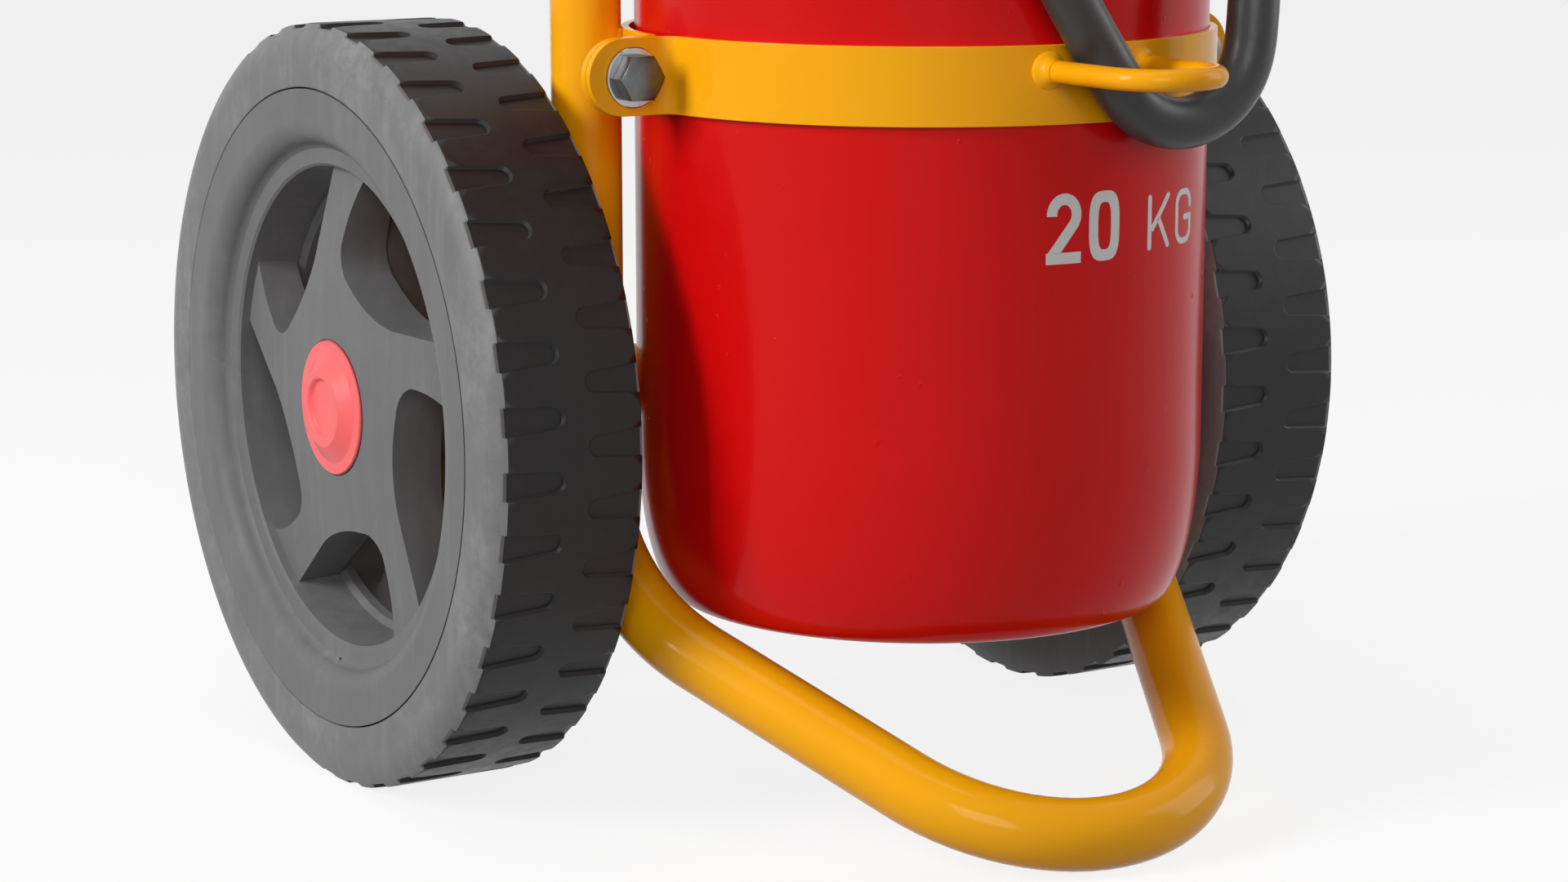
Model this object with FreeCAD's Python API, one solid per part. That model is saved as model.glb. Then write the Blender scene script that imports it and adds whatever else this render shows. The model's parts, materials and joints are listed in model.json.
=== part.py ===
import FreeCAD, Part
import math
import os

# Wheeled fire extinguisher, millimetres, +Z up. The front faces -Y and X runs along the axle.
# The origin lies on the floor, under the middle of the object without its hose.

Vector = FreeCAD.Vector

# General fits
running_fit = 0.06
seat_gap = 0.1
axial_play = 0.3

# Wheels
wheel_radius = 150.0
tyre_height = 25.1
tyre_ridge_height = 4.1
tyre_ridge_half_width = 10.0
tread_half_width = 27.55
shoulder_drop = 5.5
shoulder_outset_outer = 3.65
shoulder_outset_inner = 2.45
bulge_drop = 13.0
bulge_half_width_outer = 32.6
bulge_half_width_inner = 30.9
recess_count = 40
recess_depth = 1.8
recess_mouth_half_width = 5.55
recess_tip_radius = 3.95
recess_length_outer = 23.7
recess_length_inner = 22.0
recess_phase_outer = 2.5
recess_phase_inner = 7.0

# Rims
window_count = 5
rim_ring_height = 30.3
barrel_draft = 2.1
spoke_front_at_hub = 25.9
spoke_front_at_barrel = 19.4
spoke_back = 3.0
rib_thickness = 5.0
rib_back = -20.0
rib_angle = -2.0
hub_radius = 27.0
hub_inner_end = -33.6
hub_outer_end = 25.4
hub_pocket_radius = 18.0
hub_pocket_floor = 11.4
bush_radius = 13.0
cap_flange_setback = 0.5
cap_flange_thickness = 1.8
cap_cone_base_radius = 22.0
cap_cone_top_radius = 15.5
cap_cone_height = 4.5
cap_skirt_wall = 2.5
cap_skirt_length = 6.4

# Axle
axle_radius = 10.0
axle_end_reach = 19.0
washer_thickness = 2.0
inner_washer_radius = 18.0
outer_washer_radius = 16.0
clip_thickness = 1.5
clip_radius = 13.5
clip_groove_depth = 0.8
clip_groove_play = 0.1
axle_tube_overhang = 13.0

# Frame tubes
frame_tube_radius = 13.45
frame_tube_wall = 2.6
upright_x = 115.0
upright_joint_rise = 14.0
foot_tilt = 24.0
foot_splay = 23.6
foot_front_bend_radius = 73.0
foot_rear_bend_radius = 100.0
foot_upright_bend_radius = 60.0
foot_rise_angle = 35.0
bow_bend_radius = 50.0
handle_height = 985.0
bow_slope_rise = 115.0
bow_straight_rise = 40.0
bow_rear_offset = 50.0
grip_half_length = 60.0
grip_wall = 3.4
bracket_thickness = 6.0
bracket_end_radius = 26.0

# Cylinder
cylinder_radius = 109.55
cylinder_wall = 2.5
cylinder_axle_gap = 5.7
cylinder_base = 79.8
base_corner_radial = 16.7
base_corner_height = 65.4
base_rim_width = 25.55
base_dish_rise = 14.0
cylinder_shoulder = 690.0
dome_height = 65.0
dome_knuckle_radius = 48.0

# Straps and their fasteners
strap_height = 28.5
strap_thickness = 3.0
strap_standoff = 4.0
strap_fit = 0.1
lower_strap_height = 286.3
upper_strap_height = 600.0
ear_gap = 0.4
ear_bend_radius = 6.5
ear_end_overhang = 2.4
bolt_radius = 5.0
bolt_hole_radius = 5.5
bolt_head_flats = 16.0
bolt_head_height = 7.0
bolt_washer_radius = 11.1
bolt_washer_thickness = 2.0
nut_height = 8.0
bolt_tail = 5.5

# Hose guide on the lower strap
guide_rod_radius = 4.0
guide_half_width = 20.3
guide_leg_length = 34.65
guide_rise = 5.2
weld_radius = 6.5
weld_height = 4.0

# Neck and valve
neck_radius = 28.0
neck_height = 24.0
neck_rise = 17.0
neck_bore_radius = 19.0
neck_seal_thickness = 2.0
valve_flange_radius = 22.0
valve_flange_thickness = 14.0
valve_radius = 18.0
valve_barrel_length = 24.0
valve_block_half_width = 17.0
valve_block_height = 30.0
valve_spigot_length = 27.0
dip_tube_radius = 10.0
dip_tube_wall = 2.0
dip_tube_socket_depth = 25.0
dip_tube_floor_gap = 15.0
spring_seat_thickness = 6.0
spring_seat_lap = 0.3
stem_guide_length = 13.0
stem_radius = 4.0
throat_clearance = 1.4
poppet_lap = 1.1
chamber_clearance = 0.5
poppet_height = 6.0
spring_height = 10.0
spring_wire = 2.0
stem_seal_height = 3.0

# Squeeze lever and carrying handle
pivot_offset = 20.0
pivot_rise = 16.0
pivot_pin_radius = 3.0
plate_thickness = 2.5
lever_side_play = 0.5
lever_web_rise = 7.5
lever_flange_drop = 7.0
lever_front_reach = 27.0
lever_rear_reach = 100.0
cheek_base_rise = 2.0
cheek_top_rise = 9.0
cheek_front_reach = 28.0
cheek_rear_reach = 22.0
carry_rear_reach = 108.0
carry_web_rise = 7.0
carry_flange_rise = 2.0
handle_screw_radius = 2.5
handle_screw_offset = 11.0
handle_screw_rise = 12.0
handle_screw_length = 7.0
handle_screw_head_radius = 4.5
handle_screw_head_height = 2.5
safety_pin_radius = 2.0
safety_pin_offset = 14.0
safety_pin_drop = 3.5
safety_pin_notch_play = 2.6
pull_ring_radius = 13.0
pull_ring_wire_radius = 1.5

# Outlet, gauge and hose ends
outlet_rise = 12.0
outlet_azimuth = -55.0
outlet_boss_radius = 10.0
outlet_boss_reach = 34.0
outlet_bore_radius = 5.0
coupling_flats = 24.0
coupling_nut_length = 12.0
coupling_collar_radius = 10.5
coupling_length = 18.0
ferrule_radius = 12.5
ferrule_length = 32.0
ferrule_lip = 1.2
gauge_rise = 12.0
gauge_azimuth = 25.0
gauge_stem_radius = 5.0
gauge_back_reach = 30.0
gauge_radius = 20.0
gauge_depth = 14.0
gauge_wall = 1.6
gauge_dial_depth = 8.0
gauge_dial_thickness = 1.0
gauge_lens_thickness = 1.6
needle_length = 13.0
needle_tail = 4.0
needle_half_width = 0.8
needle_thickness = 0.6
needle_arbor_radius = 0.9

# Hose
hose_radius = 9.5
hose_start_run = 34.4
hose_end_run = 34.5

# Discharge gun in its cradle on the right upright
gun_side_reach = 48.0
gun_to_axle = 104.0
gun_base = 585.0
gun_radius = 15.0
gun_length = 115.0
gun_bore_radius = 6.5
gun_collar_lip = 4.0
gun_collar_rise = 19.0
gun_collar_height = 4.0
barrel_radius = 10.0
barrel_socket_depth = 10.0
barrel_length = 130.0
tip_wall = 3.0
tip_flare = 3.0
tip_mouth_bore_radius = 9.0
tip_overlap = 14.0
tip_length = 46.0
trigger_pivot_drop = 12.0
trigger_pivot_standoff = 8.0
trigger_pin_radius = 2.5
trigger_half_width = 9.0
trigger_plate = 2.0
trigger_length = 72.0
trigger_slope = 13.0
lug_thickness = 4.0
lug_height = 16.0
plunger_radius = 3.0
plunger_drop = 18.0
plunger_head_lip = 1.5
plunger_head_thickness = 1.6
trigger_spring_play = 0.4
trigger_spring_wire = 0.9
trigger_spring_standoff = 3.4
trigger_spring_pocket = 5.0
cradle_height = 12.0
cradle_wall = 4.0
cradle_play = 0.4
cradle_mouth_angle = 100.0
cradle_arm_half_width = 3.0

# Places worked out from the sizes above
tyre_seat_radius = wheel_radius - tyre_height
window_outer_radius = tyre_seat_radius - rim_ring_height
barrel_inner_radius = window_outer_radius - barrel_draft
cap_flange_radius = hub_radius - cap_flange_setback
axle_tube_reach = upright_x + axle_tube_overhang
half_track = axle_tube_reach + seat_gap + washer_thickness + axial_play - hub_inner_end
strap_outer_radius = cylinder_radius + strap_fit + strap_thickness
rear_strap_radius = cylinder_radius + strap_standoff + strap_thickness
cylinder_to_axle = cylinder_radius + frame_tube_radius + cylinder_axle_gap
base_dish_radius = cylinder_radius - base_rim_width
guide_leg_end = strap_outer_radius + guide_leg_length
guide_height = lower_strap_height + guide_rise
guide_reach = cylinder_to_axle + guide_leg_end + guide_half_width + guide_rod_radius
axle_y = (guide_reach - wheel_radius) / 2
cylinder_y = axle_y - cylinder_to_axle
axle_z = wheel_radius
upright_base = axle_z + bracket_end_radius + upright_joint_rise
bow_knee_height = handle_height - bow_slope_rise
upright_top = bow_knee_height - bow_straight_rise
tube_bore_radius = frame_tube_radius - frame_tube_wall
upright_y = (cylinder_y - strap_standoff
             + math.sqrt((rear_strap_radius + frame_tube_radius) ** 2 - upright_x ** 2))
washer_local_x = hub_pocket_floor + 0.2
clip_local_x = washer_local_x + washer_thickness + 0.2
neck_top = cylinder_shoulder + dome_height + neck_rise
neck_base = neck_top - neck_height
valve_flange_top = neck_top + neck_seal_thickness + valve_flange_thickness
valve_block_base = valve_flange_top + valve_barrel_length
valve_top = valve_block_base + valve_block_height
outlet_height = valve_flange_top + outlet_rise
gauge_height = valve_flange_top + gauge_rise
dip_tube_top = neck_top - valve_spigot_length + dip_tube_socket_depth
chamber_floor = dip_tube_top + spring_seat_thickness
chamber_top = valve_top - stem_guide_length
throat_radius = stem_radius + throat_clearance
poppet_radius = throat_radius + poppet_lap
chamber_radius = poppet_radius + chamber_clearance
spring_bore_radius = poppet_radius - spring_wire
spring_seat_bore_radius = spring_bore_radius - spring_seat_lap
pivot_height = valve_top + pivot_rise
lever_web_under = pivot_height + lever_web_rise
lever_flange_base = pivot_height - lever_flange_drop
cheek_base = valve_block_base + cheek_base_rise
cheek_top = pivot_height + cheek_top_rise
handle_screw_height = valve_block_base + handle_screw_rise
carry_web_top = handle_screw_height + carry_web_rise
carry_flange_base = cheek_base + carry_flange_rise
safety_pin_height = pivot_height - safety_pin_drop
safety_pin_notch_half_width = safety_pin_radius + safety_pin_notch_play
stem_top = lever_web_under - axial_play
poppet_base = chamber_floor + spring_height
gun_x = upright_x + gun_side_reach
gun_y = axle_y - gun_to_axle
gun_top = gun_base + gun_length
gun_collar_base = gun_base + gun_collar_rise
gun_collar_radius = gun_radius + gun_collar_lip
barrel_top = gun_top + barrel_length
tip_base_radius = barrel_radius + tip_wall
tip_mouth_radius = tip_base_radius + tip_flare
trigger_pivot_height = gun_top - trigger_pivot_drop
trigger_pivot_reach = gun_radius + trigger_pivot_standoff
plunger_height = trigger_pivot_height - plunger_drop
plunger_head_radius = plunger_radius + plunger_head_lip
trigger_spring_bore_radius = plunger_radius + trigger_spring_play


def sine(angle):
    return math.sin(math.radians(angle))


def cosine(angle):
    return math.cos(math.radians(angle))


def outline(to_space, start, steps):
    # A closed face from a start point and steps: (end,) is a line, (middle, end) is an arc.
    edges = []
    here = to_space(*start)
    for step in steps:
        points = [to_space(*point) for point in step]
        if len(points) == 1:
            edges.append(Part.makeLine(here, points[0]))
        else:
            edges.append(Part.Arc(here, points[0], points[1]).toShape())
        here = points[-1]
    first = to_space(*start)
    if here.distanceToPoint(first) > 1e-6:
        edges.append(Part.makeLine(here, first))
    return Part.Face(Part.Wire(edges))


def turned_about_x(start, steps):
    # Profile points are (along X, radius).
    face = outline(lambda along, radius: Vector(along, 0, radius), start, steps)
    return face.revolve(Vector(0, 0, 0), Vector(1, 0, 0), 360)


def turned_about_z(start, steps):
    # Profile points are (radius, height).
    face = outline(lambda radius, height: Vector(radius, 0, height), start, steps)
    return face.revolve(Vector(0, 0, 0), Vector(0, 0, 1), 360)


def stepped_about_z(*points):
    return turned_about_z(points[0], [(point,) for point in points[1:]])


def stepped_about_x(*points):
    return turned_about_x(points[0], [(point,) for point in points[1:]])


def rod(radius, start, end):
    direction = end - start
    return Part.makeCylinder(radius, direction.Length, start, direction)


def pipe(outer, inner, start, end):
    return rod(outer, start, end).cut(rod(inner, start, end))


def block(x0, x1, y0, y1, z0, z1):
    return Part.makeBox(x1 - x0, y1 - y0, z1 - z0, Vector(x0, y0, z0))


def extruded(to_space, start, steps, direction):
    return outline(to_space, start, steps).extrude(direction)


def moved(shape, x, y, z):
    copy = shape.copy()
    copy.translate(Vector(x, y, z))
    return copy


def turned_copy(shape, angle, axis, centre):
    copy = shape.copy()
    copy.rotate(centre, axis, angle)
    return copy


def mirrored_x(shape):
    return shape.mirror(Vector(0, 0, 0), Vector(1, 0, 0))


def joined(shapes):
    result = shapes[0]
    for shape in shapes[1:]:
        result = result.fuse(shape)
    return result.removeSplitter()


def on_bearing(shape, azimuth, height):
    # A shape made along +X from the Z axis is turned to a bearing from the front and raised.
    copy = turned_copy(shape, azimuth - 90, Vector(0, 0, 1), Vector(0, 0, 0))
    return moved(copy, 0, cylinder_y, height)


def hexagon(flats, start, length):
    # A hexagonal prism along +Y with two flats square to X.
    corner = flats / math.sqrt(3)
    points = [Vector(start.x + corner * sine(60 * k), start.y, start.z + corner * cosine(60 * k))
              for k in range(7)]
    return Part.Face(Part.makePolygon(points)).extrude(Vector(0, length, 0))


def bent_path(points, radii):
    # Straight runs joined by tangent arcs, one radius for each inner point.
    edges = []
    here = points[0]
    for index in range(1, len(points) - 1):
        corner = points[index]
        back = (points[index - 1] - corner).normalize()
        ahead = (points[index + 1] - corner).normalize()
        half_turn = (math.pi - back.getAngle(ahead)) / 2
        tangent = radii[index - 1] * math.tan(half_turn)
        start = corner + back * tangent
        end = corner + ahead * tangent
        inward = (back + ahead).normalize()
        middle = corner + inward * (radii[index - 1] / math.cos(half_turn) - radii[index - 1])
        if here.distanceToPoint(start) > 1e-6:
            edges.append(Part.LineSegment(here, start).toShape())
        edges.append(Part.Arc(start, middle, end).toShape())
        here = end
    edges.append(Part.LineSegment(here, points[-1]).toShape())
    return Part.Wire(edges)


def swept(path, start, direction, radius):
    section = Part.Wire(Part.makeCircle(radius, start, direction))
    return path.makePipeShell([section], True, False)


def bent_tube(points, radii, outer, inner):
    path = bent_path(points, radii)
    direction = points[1] - points[0]
    body = swept(path, points[0], direction, outer)
    return body.cut(swept(path, points[0], direction, inner))


def save(name, shape):
    shape.exportStep("parts/" + name + ".step")
    print(name, "solids", len(shape.Solids), "valid", shape.isValid(), "volume", round(shape.Volume))


def group(shapes):
    return Part.makeCompound(shapes)


# Wheels, made at the origin with the outer face towards +X
def tread_recess(side, length):
    # One finger-shaped pocket, open at the shoulder, at the top of the tyre.
    mouth = side * (tread_half_width + shoulder_outset_outer + 2)
    edge = side * tread_half_width
    tip = edge - side * length
    tip_start = tip + side * recess_tip_radius
    floor = wheel_radius - recess_depth
    slope = (recess_mouth_half_width - recess_tip_radius) / (length - recess_tip_radius)
    mouth_half_width = recess_mouth_half_width + slope * abs(mouth - edge)
    steps = [
        ((tip_start, recess_tip_radius),),
        ((tip, 0), (tip_start, -recess_tip_radius)),
        ((mouth, -mouth_half_width),),
    ]
    return extruded(lambda x, y: Vector(x, y, floor), (mouth, mouth_half_width), steps,
                    Vector(0, 0, recess_depth + 2))


def tread_row(side, length, phase):
    cutter = tread_recess(side, length)
    pitch = 360.0 / recess_count
    return [turned_copy(cutter, -(phase + pitch * k), Vector(1, 0, 0), Vector(0, 0, 0))
            for k in range(recess_count)]


def make_tyre():
    edge = tread_half_width
    shoulder = wheel_radius - shoulder_drop
    bulge = wheel_radius - bulge_drop
    seat = tyre_seat_radius
    ridge = tyre_seat_radius + tyre_ridge_height
    ridge_x = tyre_ridge_half_width
    body = turned_about_x((-edge, wheel_radius), [
        ((edge, wheel_radius),),
        ((edge + shoulder_outset_outer, shoulder), (bulge_half_width_outer, bulge)),
        ((bulge_half_width_outer, seat),),
        ((ridge_x, seat),),
        ((ridge_x, ridge),),
        ((-ridge_x, ridge),),
        ((-ridge_x, seat),),
        ((-bulge_half_width_inner, seat),),
        ((-bulge_half_width_inner, bulge),),
        ((-edge - shoulder_outset_inner, shoulder), (-edge, wheel_radius)),
    ])
    recesses = (tread_row(1, recess_length_outer, recess_phase_outer)
                + tread_row(-1, recess_length_inner, recess_phase_inner))
    return body.cut(recesses)


def rim_window():
    # The outline is (right, up) as seen from outside; its last side is the barrel's arc.
    top = (20.95, 92.2)
    hollow = (9.0, 76.5)
    waist = (3.7, 63.9)
    nose = (5.6, 55.6)
    corner = (12.3, 49.5)
    belly = (27.5, 41.3)
    flank = (47.6, 36.2)
    end = (87.4, 35.9)
    top_angle = math.degrees(math.atan2(top[0], top[1]))
    end_angle = math.degrees(math.atan2(end[0], end[1]))
    middle_angle = (top_angle + end_angle) / 2
    radius = window_outer_radius
    top = (radius * sine(top_angle), radius * cosine(top_angle))
    end = (radius * sine(end_angle), radius * cosine(end_angle))
    middle = (radius * sine(middle_angle), radius * cosine(middle_angle))
    back = spoke_back - 1
    depth = spoke_front_at_hub - back + 1
    return extruded(lambda right, up: Vector(back, right, up), top,
                    [(hollow, waist), (nose, corner), (belly, flank), (end,), (middle, top)],
                    Vector(depth, 0, 0))


def make_rim():
    seat = tyre_seat_radius
    ridge = seat + tyre_ridge_height
    ridge_x = tyre_ridge_half_width
    face = bulge_half_width_outer
    barrel = barrel_inner_radius
    ring = turned_about_x((face, seat), [
        ((face, seat - 11.9),),
        ((face - 1.4, seat - 17.6), (face - 7.0, seat - 21.7)),
        ((face - 8.4, seat - 23.4),),
        ((face - 8.8, window_outer_radius + 1),),
        ((face - 9.8, window_outer_radius),),
        ((2.0, barrel),),
        ((0.0, barrel - 2.5),),
        ((-4.0, barrel - 2.5),),
        ((-6.0, barrel + 7.5),),
        ((-bulge_half_width_inner, barrel + 11.5),),
        ((-bulge_half_width_inner, seat),),
        ((-ridge_x, seat),),
        ((-ridge_x, ridge),),
        ((ridge_x, ridge),),
        ((ridge_x, seat),),
    ])
    web_radius = window_outer_radius + 2
    web_slope = (spoke_front_at_hub - spoke_front_at_barrel) / (window_outer_radius - hub_radius)
    web = stepped_about_x(
        (hub_inner_end, bush_radius), (hub_inner_end, hub_radius), (spoke_back, hub_radius),
        (spoke_back, web_radius), (spoke_front_at_barrel - 2 * web_slope, web_radius),
        (spoke_front_at_hub, hub_radius), (hub_outer_end, hub_radius),
        (hub_outer_end, hub_pocket_radius), (hub_pocket_floor, hub_pocket_radius),
        (hub_pocket_floor, bush_radius))
    window = rim_window()
    pitch = 360.0 / window_count
    origin = Vector(0, 0, 0)
    along_x = Vector(1, 0, 0)
    web = web.cut([turned_copy(window, -pitch * k, along_x, origin) for k in range(window_count)])
    half_rib = rib_thickness / 2
    rib_end = barrel_inner_radius + 9.5
    rib = block(rib_back, spoke_back + 1, -half_rib, half_rib, hub_radius - 1, rib_end)
    ribs = [turned_copy(rib, -(rib_angle + pitch * k), along_x, origin) for k in range(window_count)]
    return joined([ring, web] + ribs)


def make_bush():
    bore = axle_radius + running_fit
    return stepped_about_x((hub_inner_end, bore), (hub_pocket_floor, bore),
                           (hub_pocket_floor, bush_radius), (hub_inner_end, bush_radius))


def make_hub_cap():
    base = hub_outer_end
    flange = base + cap_flange_thickness
    top = flange + cap_cone_height
    skirt = base - cap_skirt_length
    skirt_bore = hub_pocket_radius - cap_skirt_wall
    dish = cap_cone_top_radius - 3
    return stepped_about_x(
        (base, 0), (base, skirt_bore), (skirt, skirt_bore), (skirt, hub_pocket_radius),
        (base, hub_pocket_radius), (base, cap_flange_radius - 0.6),
        (base + 0.6, cap_flange_radius), (flange - 0.6, cap_flange_radius),
        (flange, cap_flange_radius - 0.6), (flange, cap_cone_base_radius),
        (top - 0.8, cap_cone_top_radius + 0.9), (top, cap_cone_top_radius - 0.4),
        (top, dish), (top - 0.6, dish - 0.9), (top - 0.6, 0))


def place_wheel_piece(name, shape):
    right = moved(shape, half_track, axle_y, axle_z)
    turned_round = turned_copy(shape, 180, Vector(0, 0, 1), Vector(0, 0, 0))
    left = moved(turned_round, -half_track, axle_y, axle_z)
    save(name + "_right", right)
    save(name + "_left", left)


def both_sides(shape):
    turned_round = turned_copy(shape, 180, Vector(0, 0, 1), Vector(0, 0, 0))
    return group([moved(shape, half_track, axle_y, axle_z),
                  moved(turned_round, -half_track, axle_y, axle_z)])


def make_inner_washer():
    face = hub_inner_end - axial_play
    bore = axle_radius + seat_gap
    return stepped_about_x((face - washer_thickness, bore), (face, bore),
                           (face, inner_washer_radius), (face - washer_thickness, inner_washer_radius))


def make_outer_washer():
    bore = axle_radius + seat_gap
    end = washer_local_x + washer_thickness
    return stepped_about_x((washer_local_x, bore), (end, bore),
                           (end, outer_washer_radius), (washer_local_x, outer_washer_radius))


def make_clip():
    # An open spring ring with a slot towards +Z.
    bore = axle_radius - clip_groove_depth + 0.05
    end = clip_local_x + clip_thickness
    ring = stepped_about_x((clip_local_x, bore), (end, bore), (end, clip_radius),
                           (clip_local_x, clip_radius))
    slot = block(clip_local_x - 1, end + 1, -2.5, 2.5, 0, clip_radius + 1)
    return ring.cut(slot)


def make_axle():
    reach = half_track + axle_end_reach
    body = stepped_about_x((-reach, 0), (-reach, axle_radius - 1), (-reach + 1, axle_radius),
                           (reach - 1, axle_radius), (reach, axle_radius - 1), (reach, 0))
    start = half_track + clip_local_x - clip_groove_play
    end = half_track + clip_local_x + clip_thickness + clip_groove_play
    floor = axle_radius - clip_groove_depth
    groove = stepped_about_x((start, floor), (end, floor), (end, axle_radius + 1),
                             (start, axle_radius + 1))
    body = body.cut([groove, mirrored_x(groove)])
    return moved(body, 0, axle_y, axle_z)


def make_axle_tube():
    bore = axle_radius + seat_gap
    start = Vector(-axle_tube_reach, axle_y, axle_z)
    end = Vector(axle_tube_reach, axle_y, axle_z)
    return pipe(frame_tube_radius, bore, start, end)


# Frame
def foot_points():
    # The foot's plane leans back from its front bend, which rests on the floor.
    front_y = axle_y - 259.9
    slope_y = cosine(foot_tilt)
    slope_z = sine(foot_tilt)
    bend = foot_front_bend_radius
    splay = foot_splay
    apex_along = bend - bend / sine(splay)
    rear_along = bend + (upright_x * cosine(splay) - bend) / sine(splay)
    apex = Vector(0, front_y + apex_along * slope_y, frame_tube_radius + apex_along * slope_z)
    rear_y = front_y + rear_along * slope_y
    rear_z = frame_tube_radius + rear_along * slope_z
    knee_z = rear_z + (upright_y - rear_y) * math.tan(math.radians(foot_rise_angle))
    points = [(upright_x, upright_y, upright_base), (upright_x, upright_y, knee_z),
              (upright_x, rear_y, rear_z)]
    right = [Vector(*point) for point in points]
    left = [Vector(-point.x, point.y, point.z) for point in reversed(right)]
    return right + [apex] + left


def make_foot_loop():
    radii = [foot_upright_bend_radius, foot_rear_bend_radius, foot_front_bend_radius,
             foot_rear_bend_radius, foot_upright_bend_radius]
    return bent_tube(foot_points(), radii, frame_tube_radius, tube_bore_radius)


def make_upright(side):
    base = Vector(side * upright_x, upright_y, upright_base)
    top = Vector(side * upright_x, upright_y, upright_top)
    return pipe(frame_tube_radius, tube_bore_radius, base, top)


def bow_points():
    rear_y = upright_y + bow_rear_offset
    right = [Vector(upright_x, upright_y, upright_top),
             Vector(upright_x, upright_y, bow_knee_height),
             Vector(upright_x, rear_y, handle_height)]
    left = [Vector(-point.x, point.y, point.z) for point in reversed(right)]
    return right + left


def make_handle_bow():
    return bent_tube(bow_points(), [bow_bend_radius] * 4, frame_tube_radius, tube_bore_radius)


def make_handle_grip():
    inner = frame_tube_radius
    outer = inner + grip_wall
    half = grip_half_length
    flange = outer + 2.5
    sleeve = turned_about_x((-half, inner), [
        ((half, inner),),
        ((half, flange - 1.5),),
        ((half - 0.45, flange - 0.45), (half - 1.5, flange)),
        ((half - 3.5, flange),),
        ((half - 6.0, outer),),
        ((-half + 6.0, outer),),
        ((-half + 3.5, flange),),
        ((-half + 1.5, flange),),
        ((-half + 0.45, flange - 0.45), (-half, flange - 1.5)),
    ])
    return moved(sleeve, 0, upright_y + bow_rear_offset, handle_height)


def make_axle_bracket(side, foot_loop_body):
    # A plate in the YZ plane, coped on the frame tube and bored for the axle tube.
    x = side * upright_x - bracket_thickness / 2
    radius = bracket_end_radius
    plate = extruded(lambda y, z: Vector(x, y, z), (upright_y, axle_z - radius), [
        ((axle_y, axle_z - radius),),
        ((axle_y + radius, axle_z), (axle_y, axle_z + radius)),
        ((upright_y, axle_z + radius),),
    ], Vector(bracket_thickness, 0, 0))
    start = Vector(x - 1, axle_y, axle_z)
    end = Vector(x + bracket_thickness + 1, axle_y, axle_z)
    plate = plate.cut([rod(frame_tube_radius, start, end), foot_loop_body])
    return max(plate.Solids, key=lambda solid: solid.Volume)


# Cylinder
def dome_crown_radius():
    offset = cylinder_radius - dome_knuckle_radius
    rise = dome_height
    knuckle = dome_knuckle_radius
    return (offset ** 2 + rise ** 2 - knuckle ** 2) / (2 * (rise - knuckle))


def cylinder_profile(inset):
    # Half profile of the shell, moved inwards by the inset, from the base's middle to the top.
    radius = cylinder_radius - inset
    base = cylinder_base + inset
    corner_top = cylinder_base + base_corner_height
    corner_radial = base_corner_radial - inset
    corner_height = base_corner_height - inset
    corner_x = radius - corner_radial
    dish_radius = base_dish_radius - inset * 0.2
    dish_top = base + base_dish_rise
    dish_middle = base + base_dish_rise * 0.76
    ellipse = Part.Ellipse(Vector(0, 0, 0), corner_height, corner_radial)
    corner = Part.ArcOfEllipse(ellipse, math.pi, math.pi * 1.5).toShape()
    corner.rotate(Vector(0, 0, 0), Vector(0, 0, 1), 90)
    corner.rotate(Vector(0, 0, 0), Vector(1, 0, 0), 90)
    corner.translate(Vector(corner_x, 0, corner_top))
    knuckle = dome_knuckle_radius - inset
    crown = dome_crown_radius() - inset
    knuckle_x = cylinder_radius - dome_knuckle_radius
    crown_z = cylinder_shoulder + dome_height - dome_crown_radius()
    lean = math.atan2(knuckle_x, cylinder_shoulder - crown_z)
    meet = Vector(crown * math.sin(lean), 0, crown_z + crown * math.cos(lean))
    knuckle_middle_angle = (math.pi / 2 + lean) / 2
    knuckle_middle = Vector(knuckle_x + knuckle * math.sin(knuckle_middle_angle), 0,
                            cylinder_shoulder + knuckle * math.cos(knuckle_middle_angle))
    crown_middle = Vector(crown * math.sin(lean / 2), 0, crown_z + crown * math.cos(lean / 2))
    top = Vector(0, 0, crown_z + crown)
    shoulder = Vector(radius, 0, cylinder_shoulder)
    return [
        Part.Arc(Vector(0, 0, dish_top), Vector(dish_radius / 2, 0, dish_middle),
                 Vector(dish_radius, 0, base)).toShape(),
        Part.makeLine(Vector(dish_radius, 0, base), Vector(corner_x, 0, base)),
        corner,
        Part.makeLine(Vector(radius, 0, corner_top), shoulder),
        Part.Arc(shoulder, knuckle_middle, meet).toShape(),
        Part.Arc(meet, crown_middle, top).toShape(),
        Part.makeLine(top, Vector(0, 0, dish_top)),
    ]


def cylinder_body(inset):
    wire = Part.Wire(Part.__sortEdges__(cylinder_profile(inset)))
    body = Part.Face(wire).revolve(Vector(0, 0, 0), Vector(0, 0, 1), 360)
    return moved(body, 0, cylinder_y, 0)


def make_cylinder_shell():
    neck = rod(neck_bore_radius, Vector(0, cylinder_y, neck_base - 20), Vector(0, cylinder_y, neck_top))
    return cylinder_body(0).cut([cylinder_body(cylinder_wall), neck])


def make_neck_collar():
    chamfer = 1.5
    collar = stepped_about_z((neck_bore_radius, neck_base), (neck_radius, neck_base),
                             (neck_radius, neck_top - chamfer), (neck_radius - chamfer, neck_top),
                             (neck_bore_radius, neck_top))
    return moved(collar, 0, cylinder_y, 0).cut(cylinder_body(0))


# Straps: half bands with bent ears, seen in plan with y from the parting plane
def ear_end_x():
    return bolt_x() + ear_end_overhang + strap_height / 2


def rear_bend_x():
    reach = rear_strap_radius + ear_bend_radius
    across = ear_gap / 2 + strap_thickness + ear_bend_radius + strap_standoff
    return math.sqrt(reach ** 2 - across ** 2)


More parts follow.
